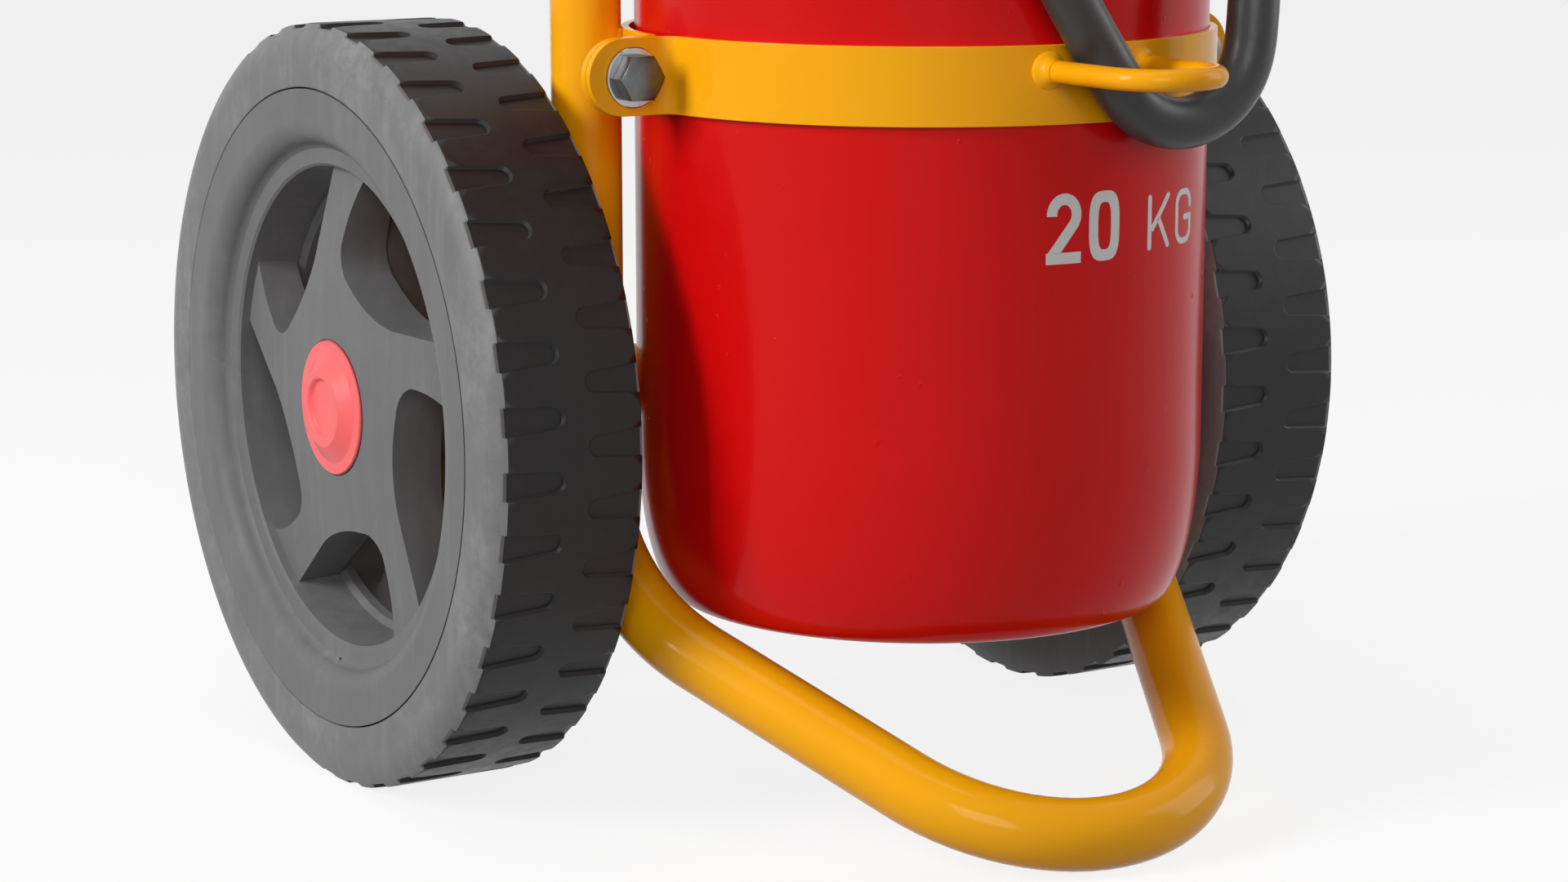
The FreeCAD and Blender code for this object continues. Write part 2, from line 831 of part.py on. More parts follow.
def bolt_x():
    return rear_bend_x() + bolt_head_flats / 2 + seat_gap


def half_strap(facing, band_radius, centre_y):
    # facing is -1 for the front half and +1 for the rear half; centre_y is the band's centre.
    inner_radius = band_radius - strap_thickness
    outer_face = facing * (ear_gap / 2 + strap_thickness)
    inner_face = facing * ear_gap / 2
    bend_y = outer_face + facing * ear_bend_radius
    reach = band_radius + ear_bend_radius
    bend_x = math.sqrt(reach ** 2 - (bend_y - centre_y) ** 2)
    lean = math.atan2(bend_y - centre_y, bend_x)
    end_x = ear_end_x()
    start_angle = math.atan2(centre_y - bend_y, -bend_x)
    end_angle = -facing * math.pi / 2
    sweep = end_angle - start_angle
    if sweep > math.pi:
        sweep -= 2 * math.pi
    if sweep < -math.pi:
        sweep += 2 * math.pi
    middle_angle = start_angle + sweep / 2
    inner_bend = ear_bend_radius + strap_thickness

    def in_plan(x, y):
        return Vector(x, y, -strap_height / 2)

    def on_band(radius, angle):
        return (radius * math.cos(angle), centre_y + radius * math.sin(angle))

    def on_bend(side, radius, angle):
        return (side * (bend_x + radius * math.cos(angle)), bend_y + radius * math.sin(angle))

    front_angle = facing * math.pi / 2
    left_band = math.pi - lean
    steps = [
        (on_band(band_radius, front_angle), on_band(band_radius, left_band)),
        (on_bend(-1, ear_bend_radius, middle_angle), (-bend_x, outer_face)),
        ((-end_x, outer_face),),
        ((-end_x, inner_face),),
        ((-bend_x, inner_face),),
        (on_bend(-1, inner_bend, middle_angle), on_band(inner_radius, left_band)),
        (on_band(inner_radius, front_angle), on_band(inner_radius, lean)),
        (on_bend(1, inner_bend, middle_angle), (bend_x, inner_face)),
        ((end_x, inner_face),),
        ((end_x, outer_face),),
        ((bend_x, outer_face),),
        (on_bend(1, ear_bend_radius, middle_angle), on_band(band_radius, lean)),
    ]
    return extruded(in_plan, on_band(band_radius, lean), steps, Vector(0, 0, strap_height))


def ear_tool(side):
    # What rounds an ear's end and bores it for its bolt.
    radius = strap_height / 2
    centre = ear_end_x() - radius
    depth = 30.0
    corner = block(centre, centre + radius + 1, -depth, depth, -radius - 1, radius + 1)
    corner = corner.cut(rod(radius, Vector(centre, -depth - 1, 0), Vector(centre, depth + 1, 0)))
    hole = rod(bolt_hole_radius, Vector(bolt_x(), -depth, 0), Vector(bolt_x(), depth, 0))
    tool = [corner, hole]
    return tool if side > 0 else [mirrored_x(shape) for shape in tool]


def make_strap(height, facing):
    if facing < 0:
        strap = half_strap(facing, strap_outer_radius, 0)
    else:
        strap = half_strap(facing, rear_strap_radius, -strap_standoff)
    strap = strap.cut(ear_tool(1) + ear_tool(-1))
    return moved(strap, 0, cylinder_y, height)


def bolt_places():
    return [(side * bolt_x(), height) for height in (lower_strap_height, upper_strap_height)
            for side in (1, -1)]


def make_strap_bolts():
    front = cylinder_y - ear_gap / 2 - strap_thickness - bolt_washer_thickness
    rear = cylinder_y + ear_gap / 2 + strap_thickness + nut_height + bolt_tail
    bolts = []
    for x, z in bolt_places():
        head = hexagon(bolt_head_flats, Vector(x, front - bolt_head_height, z), bolt_head_height)
        crown = Part.makeCone(bolt_head_flats / 2 - 0.4, bolt_head_flats / 2 + 4.2,
                              4.6, Vector(x, front - bolt_head_height, z), Vector(0, 1, 0))
        rest = rod(bolt_head_flats, Vector(x, front - bolt_head_height + 4.6, z), Vector(x, front, z))
        head = head.common(crown.fuse(rest))
        shank = rod(bolt_radius, Vector(x, front - 1, z), Vector(x, rear, z))
        bolts.append(joined([head, shank]))
    return group(bolts)


def make_strap_washers():
    rear = cylinder_y - ear_gap / 2 - strap_thickness
    front = rear - bolt_washer_thickness
    return group([pipe(bolt_washer_radius, bolt_radius + 0.3, Vector(x, front, z), Vector(x, rear, z))
                  for x, z in bolt_places()])


def make_strap_nuts():
    front = cylinder_y + ear_gap / 2 + strap_thickness
    nuts = []
    for x, z in bolt_places():
        nut = hexagon(bolt_head_flats, Vector(x, front, z), nut_height)
        bore = rod(bolt_radius, Vector(x, front - 1, z), Vector(x, front + nut_height + 1, z))
        nuts.append(nut.cut(bore))
    return group(nuts)


def make_hose_guide():
    # A bent rod whose two feet are welded to the lower strap.
    x = guide_half_width
    end_y = cylinder_y - guide_leg_end
    root_y = cylinder_y - strap_outer_radius * cosine(15)
    path = Part.Wire([
        Part.LineSegment(Vector(x, root_y, guide_height), Vector(x, end_y, guide_height)).toShape(),
        Part.Arc(Vector(x, end_y, guide_height), Vector(0, end_y - x, guide_height),
                 Vector(-x, end_y, guide_height)).toShape(),
        Part.LineSegment(Vector(-x, end_y, guide_height), Vector(-x, root_y, guide_height)).toShape(),
    ])
    loop = swept(path, Vector(x, root_y, guide_height), Vector(0, -1, 0), guide_rod_radius)
    foot_y = cylinder_y - math.sqrt(strap_outer_radius ** 2 - x ** 2)
    welds = [Part.makeCone(weld_radius, guide_rod_radius, weld_height + 1.5,
                           Vector(side * x, foot_y + 1.5, guide_height), Vector(0, -1, 0))
             for side in (1, -1)]
    strap = rod(strap_outer_radius, Vector(0, cylinder_y, 0), Vector(0, cylinder_y, 2 * guide_height))
    body = joined([loop] + welds).cut(strap)
    return max(body.Solids, key=lambda solid: solid.Volume)


# Valve
def outlet_direction_solid(start, end, radius):
    return on_bearing(rod(radius, Vector(start, 0, 0), Vector(end, 0, 0)), outlet_azimuth, outlet_height)


def make_valve_body():
    base = neck_top - valve_spigot_length
    flange_base = neck_top + neck_seal_thickness
    barrel = stepped_about_z(
        (0, base), (neck_bore_radius - 1, base), (neck_bore_radius, base + 1),
        (neck_bore_radius, flange_base), (valve_flange_radius - 1, flange_base),
        (valve_flange_radius, flange_base + 1), (valve_flange_radius, valve_flange_top - 1),
        (valve_flange_radius - 1, valve_flange_top), (valve_radius, valve_flange_top),
        (valve_radius, valve_block_base), (0, valve_block_base))
    barrel = moved(barrel, 0, cylinder_y, 0)
    half = valve_block_half_width
    head = block(-half, half, cylinder_y - valve_radius, cylinder_y + valve_radius,
                 valve_block_base - 1, valve_top)
    boss = outlet_direction_solid(0, outlet_boss_reach, outlet_boss_radius)
    gauge_boss = on_bearing(rod(gauge_stem_radius + 3, Vector(0, 0, 0), Vector(valve_radius + 3, 0, 0)),
                            gauge_azimuth, gauge_height)
    body = joined([barrel, head, boss, gauge_boss])
    middle = Vector(0, cylinder_y, 0)
    tools = [
        rod(dip_tube_radius, middle + Vector(0, 0, base - 1), middle + Vector(0, 0, dip_tube_top)),
        rod(spring_seat_bore_radius, middle + Vector(0, 0, dip_tube_top - 1),
            middle + Vector(0, 0, chamber_floor + 1)),
        rod(chamber_radius, middle + Vector(0, 0, chamber_floor),
            middle + Vector(0, 0, poppet_base + poppet_height - 1)),
        rod(throat_radius, middle + Vector(0, 0, poppet_base), middle + Vector(0, 0, chamber_top)),
        rod(chamber_radius, middle + Vector(0, 0, chamber_top),
            middle + Vector(0, 0, chamber_top + stem_seal_height)),
        rod(stem_radius + running_fit, middle + Vector(0, 0, chamber_top),
            middle + Vector(0, 0, valve_top + 1)),
        outlet_direction_solid(0, outlet_boss_reach + 1, outlet_bore_radius),
        on_bearing(rod(gauge_stem_radius, Vector(valve_radius - 6, 0, 0), Vector(valve_radius + 5, 0, 0)),
                   gauge_azimuth, gauge_height),
        on_bearing(rod(1.5, Vector(0, 0, 0), Vector(valve_radius, 0, 0)), gauge_azimuth, gauge_height),
    ]
    for side in (1, -1):
        for offset in (handle_screw_offset, -handle_screw_offset):
            y = cylinder_y + offset
            start = Vector(side * (half - handle_screw_length + plate_thickness), y, handle_screw_height)
            end = Vector(side * (half + 1), y, handle_screw_height)
            tools.append(rod(handle_screw_radius, start, end))
    return body.cut(tools)


def make_neck_seal():
    seal = stepped_about_z((neck_bore_radius, neck_top), (valve_flange_radius, neck_top),
                           (valve_flange_radius, neck_top + neck_seal_thickness),
                           (neck_bore_radius, neck_top + neck_seal_thickness))
    return moved(seal, 0, cylinder_y, 0)


def make_dip_tube():
    floor = cylinder_base + base_dish_rise + cylinder_wall + dip_tube_floor_gap
    start = Vector(0, cylinder_y, floor)
    tube = pipe(dip_tube_radius, dip_tube_radius - dip_tube_wall, start,
                Vector(0, cylinder_y, dip_tube_top))
    # The foot of the tube is cut on the slant so that it can't seal on the base.
    slant = Part.makeBox(60, 60, 30, Vector(-30, -30, -30))
    slant.rotate(Vector(0, 0, 0), Vector(1, 0, 0), 25)
    return tube.cut(moved(slant, 0, cylinder_y, floor + 4))


def make_valve_stem():
    tip = 1.2
    stem = stepped_about_z(
        (0, poppet_base), (poppet_radius, poppet_base), (poppet_radius, poppet_base + poppet_height - 2),
        (stem_radius, poppet_base + poppet_height), (stem_radius, stem_top - tip),
        (stem_radius - tip, stem_top), (0, stem_top))
    return moved(stem, 0, cylinder_y, 0)


def make_stem_seal():
    seal = stepped_about_z((stem_radius + running_fit, chamber_top), (chamber_radius, chamber_top),
                           (chamber_radius, chamber_top + stem_seal_height),
                           (stem_radius + running_fit, chamber_top + stem_seal_height))
    return moved(seal, 0, cylinder_y, 0)


def make_valve_spring():
    return pipe(poppet_radius, spring_bore_radius, Vector(0, cylinder_y, chamber_floor),
                Vector(0, cylinder_y, poppet_base))


def in_side_view(x):
    # Maps (distance behind the cylinder's axis, height) to the plane at x.
    return lambda back, height: Vector(x, cylinder_y + back, height)


def make_valve_handle():
    # A pressed channel: two cheeks beside the valve block, and a grip behind with a top web.
    inner = valve_block_half_width
    outer = inner + plate_thickness
    cheeks = []
    for x in (inner, -outer):
        cheeks.append(extruded(in_side_view(x), (-cheek_front_reach + 8, cheek_base), [
            ((cheek_rear_reach, cheek_base),),
            ((cheek_rear_reach + 6, carry_flange_base),),
            ((carry_rear_reach - 8, carry_flange_base),),
            ((carry_rear_reach, carry_flange_base + 5),),
            ((carry_rear_reach, carry_web_top),),
            ((cheek_rear_reach + 8, carry_web_top),),
            ((cheek_rear_reach, carry_web_top + 8),),
            ((cheek_rear_reach, cheek_top - 6),),
            ((cheek_rear_reach - 6, cheek_top),),
            ((-cheek_front_reach + 6, cheek_top),),
            ((-cheek_front_reach, cheek_top - 6),),
            ((-cheek_front_reach, cheek_base + 12),),
        ], Vector(plate_thickness, 0, 0)))
    web = block(-inner - 0.5, inner + 0.5, cylinder_y + cheek_rear_reach + 8,
                cylinder_y + carry_rear_reach, carry_web_top - plate_thickness, carry_web_top)
    body = joined(cheeks + [web])
    pivot_y = cylinder_y - pivot_offset
    pin_y = cylinder_y + safety_pin_offset
    tools = [
        rod(pivot_pin_radius, Vector(-outer - 1, pivot_y, pivot_height),
            Vector(outer + 1, pivot_y, pivot_height)),
        rod(safety_pin_radius + running_fit, Vector(-outer - 1, pin_y, safety_pin_height),
            Vector(outer + 1, pin_y, safety_pin_height)),
    ]
    for offset in (handle_screw_offset, -handle_screw_offset):
        y = cylinder_y + offset
        tools.append(rod(handle_screw_radius, Vector(-outer - 1, y, handle_screw_height),
                         Vector(outer + 1, y, handle_screw_height)))
    return body.cut(tools)


def make_handle_screws():
    face = valve_block_half_width + plate_thickness
    screws = []
    for side in (1, -1):
        for offset in (handle_screw_offset, -handle_screw_offset):
            y = cylinder_y + offset
            start = Vector(side * (face - handle_screw_length), y, handle_screw_height)
            shank = rod(handle_screw_radius, start, Vector(side * (face + 0.5), y, handle_screw_height))
            head = Part.makeCone(handle_screw_head_radius, handle_screw_head_radius - 1.2,
                                 handle_screw_head_height, Vector(side * face, y, handle_screw_height),
                                 Vector(side, 0, 0))
            socket = rod(1.5, Vector(side * (face + 1), y, handle_screw_height),
                         Vector(side * (face + 4), y, handle_screw_height))
            screws.append(joined([head, shank]).cut(socket))
    return group(screws)


def make_squeeze_lever():
    outer = valve_block_half_width - lever_side_play
    inner = outer - plate_thickness
    top = lever_web_under + plate_thickness
    front = -lever_front_reach
    sides = []
    for x in (inner, -outer):
        sides.append(extruded(in_side_view(x), (front, lever_flange_base + 4), [
            ((front + 5, lever_flange_base),),
            ((cheek_rear_reach, lever_flange_base),),
            ((cheek_rear_reach + 26, lever_web_under - 7),),
            ((lever_rear_reach - 6, lever_web_under - 7),),
            ((lever_rear_reach, lever_web_under - 2),),
            ((lever_rear_reach, top),),
            ((front + 3, top),),
            ((front, top - 3),),
        ], Vector(plate_thickness, 0, 0)))
    web = block(-inner - 0.5, inner + 0.5, cylinder_y + front + 3, cylinder_y + lever_rear_reach,
                lever_web_under, top)
    pivot_y = cylinder_y - pivot_offset
    pin_y = cylinder_y + safety_pin_offset
    hole = rod(pivot_pin_radius + running_fit, Vector(-outer - 1, pivot_y, pivot_height),
               Vector(outer + 1, pivot_y, pivot_height))
    notch_half = safety_pin_notch_half_width
    notch = block(-outer - 1, outer + 1, pin_y - notch_half, pin_y + notch_half,
                  lever_flange_base - 1, lever_web_under)
    return joined(sides + [web]).cut([hole, notch])


def make_lever_pin():
    face = valve_block_half_width + plate_thickness
    y = cylinder_y - pivot_offset
    shank = rod(pivot_pin_radius, Vector(-face - 1.5, y, pivot_height), Vector(face + 0.5, y, pivot_height))
    head = rod(pivot_pin_radius + 2, Vector(face, y, pivot_height), Vector(face + 2, y, pivot_height))
    stake = Part.makeCone(pivot_pin_radius + 1, pivot_pin_radius, 1.5,
                          Vector(-face, y, pivot_height), Vector(-1, 0, 0))
    return joined([shank, head, stake])


def make_safety_pin():
    face = valve_block_half_width + plate_thickness
    y = cylinder_y + safety_pin_offset
    z = safety_pin_height
    shoulder = face + 1
    ring_x = shoulder + 5 + pull_ring_radius
    shank = rod(safety_pin_radius, Vector(-face - 5, y, z), Vector(shoulder + 6, y, z))
    collar = rod(safety_pin_radius + 1.5, Vector(face + axial_play, y, z), Vector(shoulder + 3, y, z))
    ring = Part.makeTorus(pull_ring_radius, pull_ring_wire_radius, Vector(ring_x, y, z), Vector(0, 1, 0))
    return joined([shank, collar, ring])


# Gauge, made along +X from the cylinder's axis
def place_gauge(shape):
    return on_bearing(shape, gauge_azimuth, gauge_height)


def make_gauge_case():
    back = gauge_back_reach
    front = back + gauge_depth
    outer = gauge_radius
    inner = outer - gauge_wall
    stem_start = valve_radius - 6
    case = stepped_about_x(
        (stem_start, 0), (stem_start, gauge_stem_radius), (valve_radius + 3, gauge_stem_radius),
        (valve_radius + 3, gauge_stem_radius + 2), (valve_radius + 8, gauge_stem_radius + 2),
        (valve_radius + 8, gauge_stem_radius), (back, gauge_stem_radius), (back, outer - 1.5),
        (back + 1.5, outer), (front - 1, outer), (front, outer - 1), (front, inner),
        (back + gauge_wall, inner), (back + gauge_wall, 2.5), (back + gauge_wall + 3, 2.5),
        (back + gauge_wall + 3, 0))
    return place_gauge(case)


def make_gauge_dial():
    inner = gauge_radius - gauge_wall
    start = gauge_back_reach + gauge_dial_depth - gauge_dial_thickness
    end = gauge_back_reach + gauge_dial_depth
    bore = needle_arbor_radius + running_fit
    return place_gauge(stepped_about_x((start, bore), (start, inner), (end, inner), (end, bore)))


def make_gauge_needle():
    plane = gauge_back_reach + gauge_dial_depth + 1.2
    pointer = extruded(lambda y, z: Vector(plane, y, z), (-needle_half_width, -needle_tail), [
        ((needle_half_width, -needle_tail),),
        ((needle_half_width, 0),),
        ((0.15, needle_length),),
        ((-0.15, needle_length),),
        ((-needle_half_width, 0),),
    ], Vector(needle_thickness, 0, 0))
    boss = rod(2.2, Vector(plane, 0, 0), Vector(plane + needle_thickness, 0, 0))
    arbor_start = gauge_back_reach + gauge_wall + 3 + axial_play
    arbor = rod(needle_arbor_radius, Vector(arbor_start, 0, 0), Vector(plane + needle_thickness, 0, 0))
    return place_gauge(joined([pointer, boss, arbor]))


def make_gauge_lens():
    end = gauge_back_reach + gauge_depth - 0.6
    start = end - gauge_lens_thickness
    return place_gauge(rod(gauge_radius - gauge_wall, Vector(start, 0, 0), Vector(end, 0, 0)))


# Hose and its ends
def make_hose_coupling():
    start = outlet_boss_reach
    nut = hexagon(coupling_flats, Vector(0, 0, 0), coupling_nut_length)
    nut.rotate(Vector(0, 0, 0), Vector(0, 0, 1), -90)
    nut.rotate(Vector(0, 0, 0), Vector(1, 0, 0), 90)
    nut.translate(Vector(start, 0, 0))
    tail = rod(coupling_collar_radius, Vector(start + 1, 0, 0), Vector(start + coupling_length, 0, 0))
    bore = rod(outlet_bore_radius, Vector(start - 1, 0, 0), Vector(start + coupling_length + 1, 0, 0))
    return on_bearing(joined([nut, tail]).cut(bore), outlet_azimuth, outlet_height)


def ferrule(start):
    # A crimped sleeve along +X with a rolled lip at each end; the hose's tail fills it.
    end = start + ferrule_length
    return stepped_about_x(
        (start, 0), (start, ferrule_radius - ferrule_lip), (start + ferrule_lip, ferrule_radius),
        (start + 4, ferrule_radius), (start + 5, ferrule_radius - ferrule_lip),
        (end - 5, ferrule_radius - ferrule_lip), (end - 4, ferrule_radius),
        (end - ferrule_lip, ferrule_radius), (end, ferrule_radius - ferrule_lip), (end, 0))


def make_hose_ferrule_valve():
    return on_bearing(ferrule(outlet_boss_reach + coupling_length), outlet_azimuth, outlet_height)


def make_hose_ferrule_nozzle():
    upright = turned_copy(ferrule(0), -90, Vector(0, 1, 0), Vector(0, 0, 0))
    return moved(upright, gun_x, gun_y, gun_base - ferrule_length)


def hose_points():
    # From the valve, over the front left, through the guide, round under it and up to the gun.
    start_reach = outlet_boss_reach + coupling_length + ferrule_length
    outwards = Vector(sine(outlet_azimuth), -cosine(outlet_azimuth), 0)
    start = Vector(0, cylinder_y, outlet_height) + outwards * start_reach
    end = Vector(gun_x, gun_y, gun_base - ferrule_length)
    middle = [
        (-128.1, -143.3, 787.6), (-154, -161.4, 763), (-171.5, -173.8, 727.4), (-179.5, -181.5, 681),
        (-178, -186, 630), (-167.5, -188.5, 578), (-149, -190, 527), (-125.5, -190.5, 478),
        (-98.5, -189, 432), (-71, -185.8, 391), (-46, -180.5, 354), (-24, -176.8, 322),
        (-6.6, -176.2, 297.5), (8.5, -176, 276.5), (28.4, -176, 269.7), (47.7, -176, 274.9),
        (60.8, -175.5, 290), (63.6, -174.8, 313), (66.2, -171.8, 341), (77, -162.3, 372),
        (94.5, -147, 397), (114.5, -121.5, 416), (132, -91.5, 433.5), (147.7, -61.7, 455),
        (157.8, -39.8, 483.5),
    ]
    below_gun = Vector(gun_x, gun_y, end.z - hose_end_run)
    points = [start, start + outwards * hose_start_run]
    points += [Vector(*point) for point in middle]
    return points + [below_gun, end]


def make_hose():
    points = hose_points()
    radii = []
    for index in range(1, len(points) - 1):
        back = points[index - 1] - points[index]
        ahead = points[index + 1] - points[index]
        turn = math.pi - back.getAngle(ahead)
        radii.append(0.45 * min(back.Length, ahead.Length) / math.tan(turn / 2))
    path = bent_path(points, radii)
    hose = swept(path, points[0], points[1] - points[0], hose_radius)
    section = math.pi * hose_radius ** 2
    print("hose radii", [round(radius) for radius in radii])
    print("hose length", round(path.Length), "volume", round(hose.Volume),
          "section times length", round(section * path.Length))
    return hose


# Discharge gun, made upright on its own axis
def place_gun(shape):
    return moved(shape, gun_x, gun_y, 0)


def make_nozzle_body():
    neck = 3.0
    body = stepped_about_z(
        (0, gun_base), (ferrule_radius, gun_base), (ferrule_radius, gun_base + neck),
        (gun_radius, gun_base + neck + 2), (gun_radius, gun_collar_base),
        (gun_collar_radius, gun_collar_base), (gun_collar_radius, gun_collar_base + gun_collar_height),
        (gun_radius, gun_collar_base + gun_collar_height), (gun_radius, gun_top - 2),
        (gun_radius - 2, gun_top), (0, gun_top))
    lugs = []
    inner = trigger_half_width + lever_side_play
    pivot = trigger_pivot_height
    half_lug = lug_height / 2
    for x in (inner, -inner - lug_thickness):
        lugs.append(extruded(lambda y, z: Vector(x, y, z), (-6, pivot - half_lug), [
            ((-trigger_pivot_reach, pivot - half_lug + 3),),
            ((-trigger_pivot_reach - 5, pivot), (-trigger_pivot_reach, pivot + 5)),
            ((-6, pivot + half_lug),),
        ], Vector(lug_thickness, 0, 0)))
    body = joined([body] + lugs)
    reach = inner + lug_thickness + 1
    spring_bore = plunger_head_radius + 0.4
    spring_floor = -gun_radius + trigger_spring_pocket
    tools = [
        rod(gun_bore_radius, Vector(0, 0, gun_base - 1), Vector(0, 0, gun_top + 1)),
        rod(barrel_radius, Vector(0, 0, gun_top - barrel_socket_depth), Vector(0, 0, gun_top + 1)),
        rod(trigger_pin_radius, Vector(-reach, -trigger_pivot_reach, trigger_pivot_height),
            Vector(reach, -trigger_pivot_reach, trigger_pivot_height)),
        rod(plunger_radius + running_fit, Vector(0, -gun_radius - 1, plunger_height),
            Vector(0, 0, plunger_height)),
        rod(spring_bore, Vector(0, -gun_radius - 1, plunger_height),
            Vector(0, spring_floor, plunger_height)),
    ]
    return place_gun(body.cut(tools))


def make_nozzle_barrel():
    base = gun_top - barrel_socket_depth
    return place_gun(stepped_about_z(
        (gun_bore_radius, base), (barrel_radius, base), (barrel_radius, gun_top),
        (barrel_radius + 1.5, gun_top), (barrel_radius + 1.5, gun_top + 4), (barrel_radius, gun_top + 5),
        (barrel_radius, barrel_top), (gun_bore_radius, barrel_top)))


def make_nozzle_tip():
    base = barrel_top - tip_overlap
    top = base + tip_length
    return place_gun(stepped_about_z(
        (barrel_radius, base), (tip_base_radius - 1, base), (tip_base_radius, base + 1),
        (tip_base_radius, base + 14), (tip_mouth_radius, top - 12), (tip_mouth_radius, top - 1),
        (tip_mouth_radius - 1, top), (tip_mouth_bore_radius, top), (gun_bore_radius, barrel_top),
        (barrel_radius, barrel_top)))


def trigger_side_profile(x, inset):
    # The lever hangs from its pivot and leans away from the gun; its face plate is outermost.
    y0 = -trigger_pivot_reach
    z0 = trigger_pivot_height
    lean = math.tan(math.radians(trigger_slope))
    bottom = z0 - trigger_length
    top = z0 + 5
    near = y0 + 4.5
    far = y0 - 4.5
    return extruded(lambda y, z: Vector(x, y, z), (near, top), [
        ((far - inset, top),),
        ((far - inset, z0 - 4),),
        ((far - inset - lean * trigger_length, bottom),),
        ((far + 5 - lean * trigger_length, bottom),),
        ((near - lean * 30, z0 - 30),),
        ((near, z0 - 8),),
    ], Vector(trigger_plate, 0, 0))


def make_trigger_lever():
    outer = trigger_half_width
    sides = [trigger_side_profile(x, 0) for x in (outer - trigger_plate, -outer)]
    y0 = -trigger_pivot_reach - 4.5
    z0 = trigger_pivot_height
    lean = math.tan(math.radians(trigger_slope))
    bottom = z0 - trigger_length
    far_y = y0 - lean * trigger_length
    face = extruded(lambda y, z: Vector(-outer, y, z), (y0, z0 + 5), [
        ((y0, z0 - 4),),
        ((far_y, bottom),),
        ((far_y + trigger_plate, bottom),),
        ((y0 + trigger_plate, z0 - 4 - trigger_plate * lean),),
        ((y0 + trigger_plate, z0 + 5),),
    ], Vector(2 * outer, 0, 0))
    lever = joined(sides + [face])
    reach = outer + 1
    hole = rod(trigger_pin_radius + running_fit, Vector(-reach, -trigger_pivot_reach, z0),
               Vector(reach, -trigger_pivot_reach, z0))
    return place_gun(lever.cut(hole))


def make_trigger_pin():
    reach = trigger_half_width + lever_side_play + lug_thickness
    start = Vector(-reach - 0.8, -trigger_pivot_reach, trigger_pivot_height)
    end = Vector(reach + 0.8, -trigger_pivot_reach, trigger_pivot_height)
    return place_gun(rod(trigger_pin_radius, start, end))


def plunger_tip_y():
    # Where the lever's face plate stands at the plunger's height, less a small gap.
    drop = trigger_pivot_height - plunger_height - plunger_radius
    lean = math.tan(math.radians(trigger_slope))
    across = lean * trigger_length * (drop - 4) / (trigger_length - 4)
    return -trigger_pivot_reach - 4.5 + trigger_plate - across + axial_play


def make_trigger_plunger():
    tip = plunger_tip_y()
    seat = -gun_radius - trigger_spring_standoff
    shank = rod(plunger_radius, Vector(0, tip, plunger_height),
                Vector(0, -gun_bore_radius - 0.5, plunger_height))
    head = rod(plunger_head_radius, Vector(0, seat - plunger_head_thickness, plunger_height),
               Vector(0, seat, plunger_height))
    return place_gun(joined([shank, head]))


def make_trigger_spring():
    start = Vector(0, -gun_radius - trigger_spring_standoff, plunger_height)
    end = Vector(0, -gun_radius + trigger_spring_pocket, plunger_height)
    outer = trigger_spring_bore_radius + trigger_spring_wire
    return place_gun(pipe(outer, trigger_spring_bore_radius, start, end))


def make_nozzle_cradle():
    # A C-shaped clip open to the front, on a flat arm welded to the right upright.
    inner = gun_radius + cradle_play
    outer = inner + cradle_wall
    top = gun_collar_base
    base = top - cradle_height
    ring = pipe(outer, inner, Vector(gun_x, gun_y, base), Vector(gun_x, gun_y, top))
    half = cradle_mouth_angle / 2
    reach = outer * 2
    mouth = extruded(lambda x, y: Vector(gun_x + x, gun_y + y, base - 1), (0, 0), [
        ((-reach * sine(half), -reach * cosine(half)),),
        ((reach * sine(half), -reach * cosine(half)),),
    ], Vector(0, 0, cradle_height + 2))
    ring = ring.cut(mouth)
    to_upright = Vector(upright_x - gun_x, upright_y - gun_y, 0)
    distance = to_upright.Length
    arm = block((inner + outer) / 2, distance, -cradle_arm_half_width, cradle_arm_half_width, base, top)
    angle = math.degrees(math.atan2(to_upright.y, to_upright.x))
    arm.rotate(Vector(0, 0, 0), Vector(0, 0, 1), angle)
    arm = moved(arm, gun_x, gun_y, 0)
    upright = rod(frame_tube_radius, Vector(upright_x, upright_y, base - 1),
                  Vector(upright_x, upright_y, top + 1))
    bore = rod(inner, Vector(gun_x, gun_y, base - 1), Vector(gun_x, gun_y, top + 1))
    return joined([ring, arm.cut(bore)]).cut(upright)


